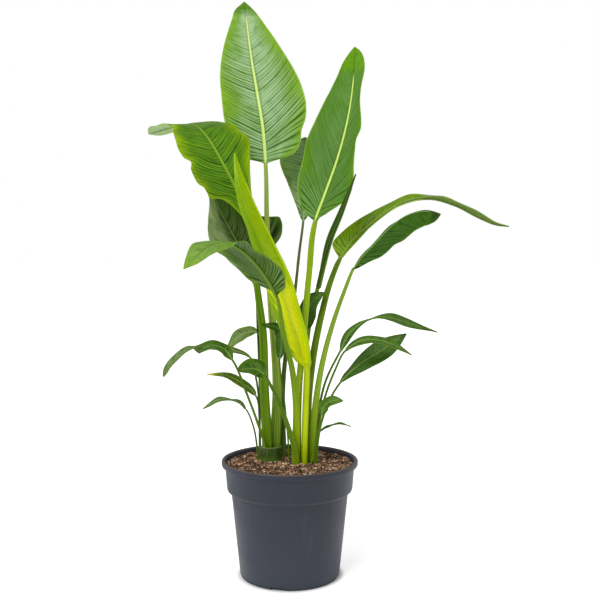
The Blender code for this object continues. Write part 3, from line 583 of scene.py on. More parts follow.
def smooth_curve(points, steps=24):
    """A smooth curve through the points: its samples, their distances and the points' own."""
    knots = np.array(points)
    gaps = np.linalg.norm(np.diff(knots, axis=0), axis=1)
    slopes = np.diff(knots, axis=0) / gaps[:, None]
    before, after = gaps[:-1, None], gaps[1:, None]
    inner = (slopes[:-1] * after + slopes[1:] * before) / (before + after)
    tangents = np.vstack([slopes[:1], inner, slopes[-1:]])
    share = np.linspace(0, 1, steps, endpoint=False)[:, None]
    spans = []
    for index, gap in enumerate(gaps):
        start, end = knots[index], knots[index + 1]
        leave, arrive = tangents[index] * gap, tangents[index + 1] * gap
        spans.append(
            start * (1 + 2 * share) * (1 - share) ** 2 + leave * share * (1 - share) ** 2
            + end * share ** 2 * (3 - 2 * share) + arrive * share ** 2 * (share - 1))
    samples = np.vstack(spans + [knots[-1:]])
    distances = np.append(0, np.cumsum(np.linalg.norm(np.diff(samples, axis=0), axis=1)))
    return samples, distances, distances[::steps]


def unit(vectors):
    return vectors / np.linalg.norm(vectors, axis=-1, keepdims=True)


def smoothstep(value):
    value = np.clip(value, 0, 1)
    return value * value * (3 - 2 * value)


class Spine:
    """The midline of a leaf: where it is, where it heads and where its upper face looks."""

    def __init__(self, leaf):
        points = np.vstack([leaf.stalk, leaf.rib])
        self.samples, self.distances, marks = smooth_curve(points)
        self.faces = np.array(leaf.faces, dtype=float)
        self.base, self.tip = marks[len(leaf.stalk) - 1], marks[-1]

    def point(self, where):
        return np.stack([np.interp(where, self.distances, column)
                         for column in self.samples.T], axis=-1)

    def frame(self, where):
        """Centre, across and face directions at distances along the leaf."""
        ahead = self.point(np.minimum(where + DIRECTION_REACH, self.tip))
        behind = self.point(np.maximum(where - DIRECTION_REACH, 0))
        direction = unit(ahead - behind)
        up_blade = np.clip((where - self.base) / (self.tip - self.base), 0, 1)[..., None]
        steps = np.linspace(0, 1, len(self.faces))
        face = np.concatenate([np.interp(up_blade, steps, part) for part in self.faces.T], axis=-1)
        face = unit(face - direction * (face * direction).sum(-1, keepdims=True))
        return self.point(where), np.cross(direction, face), face


def stalk_rings(leaf, spine, where, count):
    """Ovals across the stalk with a channel down the upper side, wider towards the foot.

    With the points come two of the maps for the paint: across and upper.
    """
    centre, across, face = spine.frame(where)
    flare = (1 - np.clip(where / spine.base, 0, 1)) ** leaf.flare
    half_width = leaf.neck + (leaf.foot[0] - leaf.neck) * flare
    half_depth = leaf.neck + (leaf.foot[1] - leaf.neck) * flare
    angle = math.pi - (np.arange(count) + 0.5) * 2 * math.pi / count
    channel = np.exp(-((angle - math.pi / 2) / STALK_CHANNEL_WIDTH) ** 2)
    out = half_width[:, None] * np.cos(angle)
    up = half_depth[:, None] * np.sin(angle) * (1 - STALK_CHANNEL_DEPTH * channel)
    rings = centre[:, None] + across[:, None] * out[..., None] + face[:, None] * up[..., None]
    return (rings, np.broadcast_to(np.cos(angle), out.shape),
            np.broadcast_to(0.5 + 0.5 * np.sin(angle), out.shape))


def blade_columns(leaf):
    """Across one face, left to right: the side, the place on the half and the place on the rib."""
    half = np.append(0, np.linspace(FIRST_COLUMN, 1, leaf.columns - 1))
    on_blade = np.ones(leaf.columns)
    side = np.concatenate([-on_blade, [-1, 1, 1], on_blade])
    place_on_half = np.concatenate([half[::-1], [0, 0, 0], half])
    place_on_rib = np.concatenate([on_blade, [RIB_SHOULDER, 0, RIB_SHOULDER], on_blade])
    return side, place_on_half, place_on_rib


def by_side(side, left, right):
    return np.where(side < 0, left, right)


def half_width(leaf, side, along):
    """Half width of each half at a share of the blade's length."""
    if leaf.edges:
        left, right = (smooth_curve(leaf.edges[index])[0] for index in (0, -1))
        return by_side(side, *(np.interp(along, *half.T) for half in (left, right)))
    rounding, taper = leaf.outline
    widest = rounding / (rounding + taper)
    peak = widest ** rounding * (1 - widest) ** taper
    swell = along ** rounding * (1 - along) ** taper / peak
    return by_side(side, *leaf.half_widths) * swell


def swept(leaf, length, row_share, side, on_half):
    """How far up the blade a row's points are, and its margin: a row runs forward like a vein."""
    reach = by_side(side, *leaf.sweep) * by_side(side, *leaf.half_widths) / length
    ramp = smoothstep(row_share / SWEEP_RAMP) * (1 - row_share ** 2)
    at_row, reach = row_share[:, None], ramp[:, None] * reach
    return at_row + reach * on_half ** SWEEP_CURVE, at_row + reach


def folded(leaf, side, width, share, at_margin):
    """How far a section goes out and up with its fold and waves, and how much it leans there."""
    start, end = (math.radians(angle) for angle in leaf.fold)
    mean = start + (end - start) * share / 2
    left, right, count = leaf.waves
    wave = np.sin(2 * math.pi * (count * at_margin + side * WAVE_OFFSET))
    wave = wave * by_side(side, left, right) * np.sin(math.pi * at_margin)
    out = side * width * share * np.cos(mean)
    up = width * share * np.sin(mean) + wave * share ** 2
    return out, up, start + (end - start) * share


def vein_phase(leaf, length, row_share):
    """Which vein a row lies on, with the gaps shifted a little so that no two are alike."""
    phase = even = (row_share * length / leaf.veins[0])[:, None]
    for height, rate, start in VEIN_SHIFTS:
        phase = phase + height * np.sin(rate * even + start)
    return phase


def pleats(leaf, phase, row_share, on_half):
    """Height of the pleats along the veins, which fade at the rib, margin, base and tip."""
    mean, change, rate = PLEAT_HEIGHTS
    ridge = np.cos(2 * math.pi * phase) + PLEAT_CREASE * np.cos(4 * math.pi * phase)
    ridge = ridge * (mean + change * np.sin(rate * phase))
    at_ends = smoothstep(row_share / PLEAT_FROM_BASE) * smoothstep((1 - row_share) / PLEAT_FROM_TIP)
    at_sides = smoothstep(on_half / PLEAT_FROM_RIB) * (1 - PLEAT_LOSS_AT_MARGIN * on_half ** 2)
    return leaf.veins[1] * ridge * at_sides * at_ends[:, None]


def blade_rings(leaf, spine, row_share):
    """Sections of the blade whose rows follow the veins: points, and the maps for its paint."""
    length = spine.tip - spine.base
    side, on_half, on_rib = blade_columns(leaf)
    along, at_margin = swept(leaf, length, row_share, side, on_half)
    to_tip = 1 - along
    least = leaf.neck * to_tip + TIP_HALF_WIDTH * along
    width = np.maximum(half_width(leaf, side, along), least)
    rib_width = RIB_HALF_WIDTH * leaf.neck * (1 - RIB_TIP_NARROWING * along)
    rib_share = np.minimum(rib_width / width, RIB_WIDEST_SHARE)
    share = rib_share + (1 - rib_share) * on_half
    out, up, lean = folded(leaf, side, width, share, at_margin)
    out, lean = out * on_rib, lean * on_rib
    centre, across, face = spine.frame(spine.base + along * length)
    normal = across * (-side * np.sin(lean))[..., None] + face * np.cos(lean)[..., None]
    phase = np.broadcast_to(vein_phase(leaf, length, row_share), along.shape)
    middle = centre + across * out[..., None] + face * up[..., None]
    middle = middle + normal * pleats(leaf, phase, row_share, on_half)[..., None]
    thickness = leaf.neck * RIB_DEPTH * to_tip + RIB_TIP_THICKNESS
    keel = np.where(on_half > 0, 0, 1 - KEEL_SLOPE * on_rib ** 2) * thickness
    groove = np.where(on_half > 0, 0, 1 - on_rib) * RIB_GROOVE * leaf.neck * to_tip
    top = middle + normal * (BLADE_THICKNESS / 2 - groove)[..., None]
    bottom = middle - normal * (BLADE_THICKNESS / 2 + keel)[..., None]
    on_midrib = np.broadcast_to((on_half == 0).astype(float), along.shape)
    maps = {"along": along, "across": side * share, "rib": on_midrib, "vein": phase}
    maps = {name: round_section(values, values) for name, values in maps.items()}
    maps["upper"] = round_section(np.ones_like(along), np.zeros_like(along))
    return round_section(top, bottom), maps


def round_section(upper, lower):
    """Values of each section's upper face from left to right, then of its lower face back."""
    return np.concatenate([upper, lower[:, ::-1]], axis=1)


def opened(leaf, spine, row_share, blade):
    """Open the stalk's oval into the blade at its base, flattening it before it widens."""
    where = spine.base + row_share * (spine.tip - spine.base)
    ovals = stalk_rings(leaf, spine, where, blade.shape[1])[0]
    centre, _, face = spine.frame(where)
    centre, face = centre[:, None], face[:, None]
    wide = smoothstep(row_share / BASE_BLEND)[:, None, None]
    thin = 1 - (1 - wide) ** 3
    for_oval, for_blade = ovals - centre, blade - centre
    oval_up = (for_oval * face).sum(-1, keepdims=True) * face
    blade_up = (for_blade * face).sum(-1, keepdims=True) * face
    flat = (for_oval - oval_up) * (1 - wide) + (for_blade - blade_up) * wide
    return centre + flat + oval_up * (1 - thin) + blade_up * thin


def leaf_rings(leaf):
    """All rings of a leaf from its foot to its tip, and the maps for its paint."""
    spine = Spine(leaf)
    rows = round((spine.tip - spine.base) / leaf.veins[0] * ROWS_PER_VEIN)
    even = np.linspace(0, 1, rows + 1)[1:]
    row_share = even - ROW_CROWDING * np.sin(2 * math.pi * even) / (2 * math.pi)
    blade, maps = blade_rings(leaf, spine, row_share)
    where = np.linspace(0, spine.base, round(spine.base / STALK_STEP) + 1)
    stalk, across, upper = stalk_rings(leaf, spine, where, blade.shape[1])
    along = np.broadcast_to((where / spine.base - 1)[:, None], across.shape)
    none = np.zeros_like(across)
    on_stalk = {"along": along, "across": across, "rib": none, "vein": none, "upper": upper}
    maps = {name: np.vstack([on_stalk[name], maps[name]]) for name in maps}
    return np.vstack([stalk, opened(leaf, spine, row_share, blade)]), maps


def closed(values):
    """Repeat the first column at the end, where the grid's two sides meet."""
    return np.concatenate([values, values[:, :1]], axis=1)


def skinned(name, rings, maps):
    """Wrap a grid round closed rings, weld its seam and close its two ends."""
    rows, columns = rings.shape[:2]
    bpy.ops.object.select_all(action="DESELECT")
    bpy.ops.mesh.primitive_grid_add(x_subdivisions=columns, y_subdivisions=rows - 1, size=1)
    piece = bpy.context.object
    piece.name = piece.data.name = name
    piece.data.vertices.foreach_set("co", closed(rings).astype(np.float32).ravel())
    for key, values in maps.items():
        set_attribute(piece.data, key, closed(values))
    piece.data.update()
    bpy.ops.object.mode_set(mode="EDIT")
    bpy.ops.mesh.select_all(action="SELECT")
    bpy.ops.mesh.remove_doubles(threshold=SEAM_GAP)
    bpy.ops.mesh.select_all(action="SELECT")
    bpy.ops.mesh.fill_holes(sides=0)
    bpy.ops.mesh.select_all(action="SELECT")
    bpy.ops.mesh.normals_make_consistent(inside=False)
    bpy.ops.object.mode_set(mode="OBJECT")
    smooth(piece, LEAF_SHARP_ANGLE)
    return piece


LOOK_COLOURS = ("Foot", "Stalk", "Base", "Body", "Margin", "Tip", "Bloom And Sheen", "Under", "Rib")
LOOK_VALUES = ("Bloom And Sheen Amount", "Left Bloom And Sheen", "Stripes", "Margin Reach", "Base Reach", "Tip Start",
               "Fold Shading")
SHADE_IN_GROOVES = paint(128, 158, 104)
SHADE_IN_LINES = paint(186, 204, 166)
BROWNED = paint(168, 150, 88)
# Noise: scale and detail of patches, and scale along and across and detail of lines and streaks
PATCHES = (22.0, 3.0)
WIDE_PATCHES = (8.0, 2.0)
BROAD_LINES = (0.45, 1.6, 2.0)
FINE_LINES = (1.9, 1.6, 4.0)
STREAKS = (1.5, 4.0, 4.0)
FRAYING = 0.8
STALK_TO_BLADE = (-0.012, 0.02)
LEAF_ROUGHNESS = 0.34
LEAF_ROUGHNESS_CHANGE = 0.2
LEAF_SHINE = 0.12
LEAF_RELIEF = (0.35, 0.0004)


class LeafPaint:
    """Sockets of the leaf group: its inputs, a leaf's own maps, and noise to fray the colours.

    Each rise() tells where a mark starts and where it is full, on a map, on noise or on the
    cosine of the veins, and the factor beside it tells how strong the mark gets.
    """

    def __init__(self, tree, given):
        self.tree, self.given = tree, given
        self.along, self.across, self.upper, self.rib, self.vein = (
            place(tree, "ShaderNodeAttribute", {}, attribute_name=key).outputs["Fac"]
            for key in ("along", "across", "upper", "rib", "vein"))
        spot = place_on_piece(tree)
        self.width = sums("ABSOLUTE", self.across)
        self.patch = speckle(spot, *PATCHES)
        self.wide_patch = speckle(spot, *WIDE_PATCHES)
        self.broad_lines, self.fine_lines = self.lines(*BROAD_LINES), self.lines(*FINE_LINES)
        self.ragged = times(minus(self.broad_lines, 0.5), FRAYING)
        self.ragged_along = plus(self.along, times(self.ragged, 0.06))

    def lines(self, along_scale, across_scale, detail):
        """Noise drawn out along the veins, unlike on the two faces."""
        run = place(self.tree, "ShaderNodeCombineXYZ", {
            0: times(self.vein, along_scale), 1: times(self.across, across_scale),
            2: self.upper})
        return speckle(run.outputs[0], 1.0, detail, 0.6)

    def blade(self):
        """The upper face from base to tip and from rib to margin, and the plainer underside."""
        given = self.given
        frayed = plus(self.along, times(self.ragged, 0.15))
        reach = rise(frayed, times(given["Base Reach"], 0.6), given["Base Reach"])
        body = mix(reach, given["Base"], given["Body"])
        under = mix(reach, given["Base"], given["Under"])
        # The margin colour is the margin's own yellower green and painted backlight through the
        # blade.
        width = plus(plus(self.width, self.ragged), times(minus(self.wide_patch, 0.5), 0.9))
        edge = rise(width, minus(1.0, given["Margin Reach"]), 1.05)
        body = mix(edge, body, given["Margin"])
        under = mix(times(edge, 0.4), under, given["Margin"])
        # Bloom and painted sheen: pale bloom with a painted reflection, strongest towards the rib.
        left = times(rise(self.across, -0.05, -0.5), given["Left Bloom And Sheen"])
        bloom_and_sheen = times(rise(width, 0.95, 0.2), given["Bloom And Sheen Amount"])
        bloom_and_sheen = times(plus(bloom_and_sheen, left), rise(self.patch, 0.2, 0.6))
        body = mix(sums("MINIMUM", bloom_and_sheen, 1.0), body, given["Bloom And Sheen"])
        at_tip = rise(self.ragged_along, minus(given["Tip Start"], 0.03),
                      plus(given["Tip Start"], 0.03))
        return mix(self.upper, under, mix(at_tip, body, given["Tip"]))

    def veined(self, colour):
        """Painted shade in the vein grooves, painted sheen on their ridges, fine lines between."""
        given = self.given
        wave = sums("COSINE", times(self.vein, 2 * math.pi))
        strength = times(given["Stripes"], rise(self.ragged_along, 1.0, 0.25))
        strength = times(strength, plus(rise(self.wide_patch, 0.62, 0.38), 0.35))
        strength = times(strength, rise(self.width, 1.1, 0.75))
        # Painted shade darkens the grooves and painted sheen lightens the ridges of the veins.
        grooves = times(rise(wave, -0.35, -0.95), strength)
        ridges = times(rise(wave, 0.1, 0.9), times(strength, 0.3))
        colour = darker(grooves, colour, SHADE_IN_GROOVES)
        colour = mix(ridges, colour, given["Bloom And Sheen"])
        dark_lines = times(rise(self.fine_lines, 0.5, 0.72), 0.6)
        pale_lines = times(rise(self.fine_lines, 0.48, 0.3), 0.25)
        colour = darker(dark_lines, colour, SHADE_IN_LINES)
        return mix(pale_lines, colour, given["Bloom And Sheen"])

    def shaded_folds_and_rib(self, colour):
        """Painted broad fold shade and light, painted shadow by the rib, pale margin line and rib.
        """
        given = self.given
        # Painted shade in the hollows and painted light on the crests of broad folds.
        fold_shading = times(given["Fold Shading"], plus(times(self.upper, 0.7), 0.3))
        hollows = times(rise(self.broad_lines, 0.5, 0.7), fold_shading)
        crests = times(rise(self.broad_lines, 0.45, 0.3), times(fold_shading, self.width))
        colour = darker(hollows, colour, SHADE_IN_GROOVES)
        colour = mix(crests, colour, given["Margin"])
        # Painted shadow in the hollow beside the rib.
        rib_shadow = times(rise(self.width, 0.1, 0.04), 0.5)
        colour = darker(rib_shadow, colour, SHADE_IN_GROOVES)
        patches = times(rise(self.patch, 0.6, 0.8), 0.2)
        colour = darker(patches, colour, SHADE_IN_GROOVES)
        margin_line = times(rise(self.width, 0.965, 0.995), 0.35)
        colour = mix(margin_line, colour, given["Rib"])
        before_tip = rise(self.along, given["Tip Start"], minus(given["Tip Start"], 0.06))
        return mix(times(self.rib, before_tip), colour, given["Rib"])

    def streaks(self):
        """Noise drawn out along the stalk."""
        along_scale, across_scale, detail = STREAKS
        run = place(self.tree, "ShaderNodeCombineXYZ", {
            0: times(self.across, across_scale), 1: times(self.along, along_scale),
            2: times(self.upper, 3.0)})
        return speckle(run.outputs[0], 1.0, detail, 0.65)

    def stalk(self, streaks):
        """From foot to blade, streaked, and browned in places where it leaves the peat."""
        given = self.given
        colour = mix(rise(self.along, -1.0, -0.3), given["Foot"], given["Stalk"])
        colour = darker(times(rise(streaks, 0.46, 0.64), 0.6), colour, SHADE_IN_GROOVES)
        colour = mix(times(rise(streaks, 0.48, 0.32), 0.35), colour, given["Rib"])
        browned = times(rise(self.along, -0.86, -0.98), rise(self.patch, 0.45, 0.7))
        return darker(times(browned, 0.5), colour, BROWNED)


def leaf_group():
    """How a leaf is coloured along its stalk, up its blade and across it, by its own maps."""
    inputs = {label: "colour" for label in LOOK_COLOURS}
    inputs.update({label: "value" for label in LOOK_VALUES})
    group, given, output = new_group(
        "leaf_skin", inputs, {"Colour": "colour", "Roughness": "value", "Height": "value"})
    leaf = LeafPaint(group, given)
    blade = leaf.shaded_folds_and_rib(leaf.veined(leaf.blade()))
    streaks = leaf.streaks()
    colour = mix(rise(leaf.along, *STALK_TO_BLADE), leaf.stalk(streaks), blade)
    roughness = plus(times(leaf.patch, LEAF_ROUGHNESS_CHANGE), LEAF_ROUGHNESS)
    height = mix(rise(leaf.along, -0.01, 0.01), streaks, leaf.fine_lines)
    feed(output, {"Colour": colour, "Roughness": roughness, "Height": height})
    return group


LEAF_SKIN = leaf_group()


def leaf_finish(name, colours, values):
    """A living leaf's waxy surface in one look."""
    finish, tree, shader = new_finish(name)
    look = {label: paint(*colour) for label, colour in zip(LOOK_COLOURS, colours)}
    look.update(zip(LOOK_VALUES, values))
    skin = place(tree, "ShaderNodeGroup", look, node_tree=LEAF_SKIN)
    feed(shader, {"Base Color": skin.outputs["Colour"], "Roughness": skin.outputs["Roughness"],
                  "Specular IOR Level": LEAF_SHINE})
    relieve(shader, skin.outputs["Height"], *LEAF_RELIEF)
    return finish


# Each look: foot, stalk, blade base, body, margin with painted backlight, tip, bloom and painted
# sheen, underside and rib, then how much bloom and sheen there is, how much more on the left
# half, how dark the veins are, how far the margin's colour reaches in and the base's reaches up,
# where the tip's starts and how strong the painted shade and light of the folds are
LOOKS = {
    "broad": (
        ((110, 146, 0), (166, 186, 84), (100, 148, 46), (112, 158, 52), (122, 168, 14),
         (84, 132, 12), (162, 192, 142), (128, 156, 96), (208, 232, 130)),
        (0.95, -0.3, 1.2, 0.5, 0.25, 0.93, 0.3)),
    "broad_deep": (
        ((140, 166, 0), (144, 172, 8), (88, 136, 36), (80, 126, 32), (86, 132, 10),
         (96, 146, 0), (110, 152, 78), (128, 160, 100), (200, 226, 110)),
        (0.45, 0.0, 0.8, 0.35, 0.2, 0.87, 0.3)),
    "grey_green": (
        ((84, 112, 10), (88, 104, 50), (86, 120, 56), (136, 170, 98), (126, 160, 58),
         (110, 144, 72), (152, 176, 132), (110, 136, 90), (150, 176, 108)),
        (0.5, 0.0, 4.0, 0.2, 0.2, 0.95, 0.5)),
    "arching": (
        ((110, 144, 0), (92, 130, 0), (88, 136, 16), (80, 130, 0), (150, 182, 0),
         (110, 146, 64), (112, 158, 40), (144, 168, 116), (124, 164, 40)),
        (0.35, 0.0, 1.2, 0.42, 0.2, 0.9, 0.55)),
    "shaded": (
        ((56, 90, 0), (54, 78, 18), (34, 62, 0), (48, 82, 0), (82, 116, 18),
         (62, 98, 0), (158, 176, 118), (96, 122, 70), (112, 144, 56)),
        (0.1, 1.0, 1.0, 0.3, 0.45, 0.95, 0.6)),
    "front": (
        ((166, 194, 0), (106, 136, 12), (66, 96, 16), (116, 156, 48), (130, 168, 50),
         (126, 164, 48), (140, 176, 96), (54, 84, 6), (108, 140, 46)),
        (0.4, 0.0, 0.9, 0.25, 0.3, 0.9, 0.4)),
    "young": (
        ((176, 198, 0), (186, 204, 10), (222, 226, 0), (122, 160, 0), (132, 170, 0),
         (148, 186, 50), (140, 178, 10), (150, 182, 0), (172, 200, 16)),
        (0.2, 0.0, 0.25, 0.3, 0.5, 0.9, 0.2)),
    "slender": (
        ((124, 154, 0), (100, 130, 16), (134, 172, 0), (114, 152, 20), (132, 166, 8),
         (150, 164, 104), (136, 164, 60), (92, 118, 46), (148, 176, 76)),
        (0.4, 0.0, 0.6, 0.3, 0.2, 0.55, 0.5)),
    "deep": (
        ((136, 168, 0), (126, 154, 44), (50, 88, 0), (46, 86, 0), (56, 98, 0),
         (40, 70, 4), (84, 122, 52), (92, 122, 64), (104, 140, 56)),
        (0.1, 0.0, 0.9, 0.25, 0.2, 0.93, 0.5)),
    "dark": (
        ((96, 132, 0), (78, 112, 12), (52, 90, 0), (50, 88, 0), (66, 104, 6),
         (52, 82, 10), (104, 140, 68), (92, 122, 56), (116, 150, 64)),
        (0.35, 0.0, 0.7, 0.2, 0.2, 0.93, 0.4)),
    "spear": (
        ((110, 144, 0), (124, 156, 14), (60, 90, 8), (50, 80, 4), (60, 90, 12),
         (40, 66, 8), (80, 108, 40), (56, 84, 14), (80, 112, 28)),
        (0.2, 0.0, 0.3, 0.3, 0.3, 0.9, 0.2)),
    "shoot": (
        ((124, 154, 0), (82, 114, 12), (58, 94, 10), (66, 104, 14), (84, 120, 22),
         (80, 104, 34), (106, 140, 70), (92, 122, 54), (124, 158, 64)),
        (0.45, 0.0, 0.6, 0.3, 0.2, 0.88, 0.6)),
    "shoot_pale": (
        ((104, 138, 0), (72, 102, 14), (76, 104, 36), (90, 116, 50), (104, 132, 46),
         (92, 114, 48), (124, 146, 90), (98, 122, 66), (128, 152, 80)),
        (0.6, 0.0, 0.8, 0.3, 0.25, 0.9, 0.6)),
    "shoot_yellow": (
        ((84, 116, 6), (72, 100, 18), (78, 110, 26), (150, 162, 44), (160, 168, 40),
         (214, 204, 70), (136, 156, 70), (116, 138, 56), (150, 170, 84)),
        (0.2, 0.0, 0.3, 0.3, 1.0, 0.88, 0.4)),
}
DARK_LEAVES = ("leaf_back", "leaf_left_low", "leaf_right_low", "leaf_spear", "shoot_back_middle")
FINISHES = {name: leaf_finish("leaf_" + name, *look) for name, look in LOOKS.items()}


def leaf_slot(name):
    if name == "leaf_young":
        return "leaf_young"
    return "leaf_dark" if name in DARK_LEAVES else "leaf_green"


def grow(leaves):
    """Model each leaf, give it its look and let it stand for its CAD node."""
    for leaf in leaves:
        blade = skinned(leaf.name + "_grown", *leaf_rings(leaf))
        mount(blade, FINISHES[leaf.look], leaf_slot(leaf.name), leaf.name)


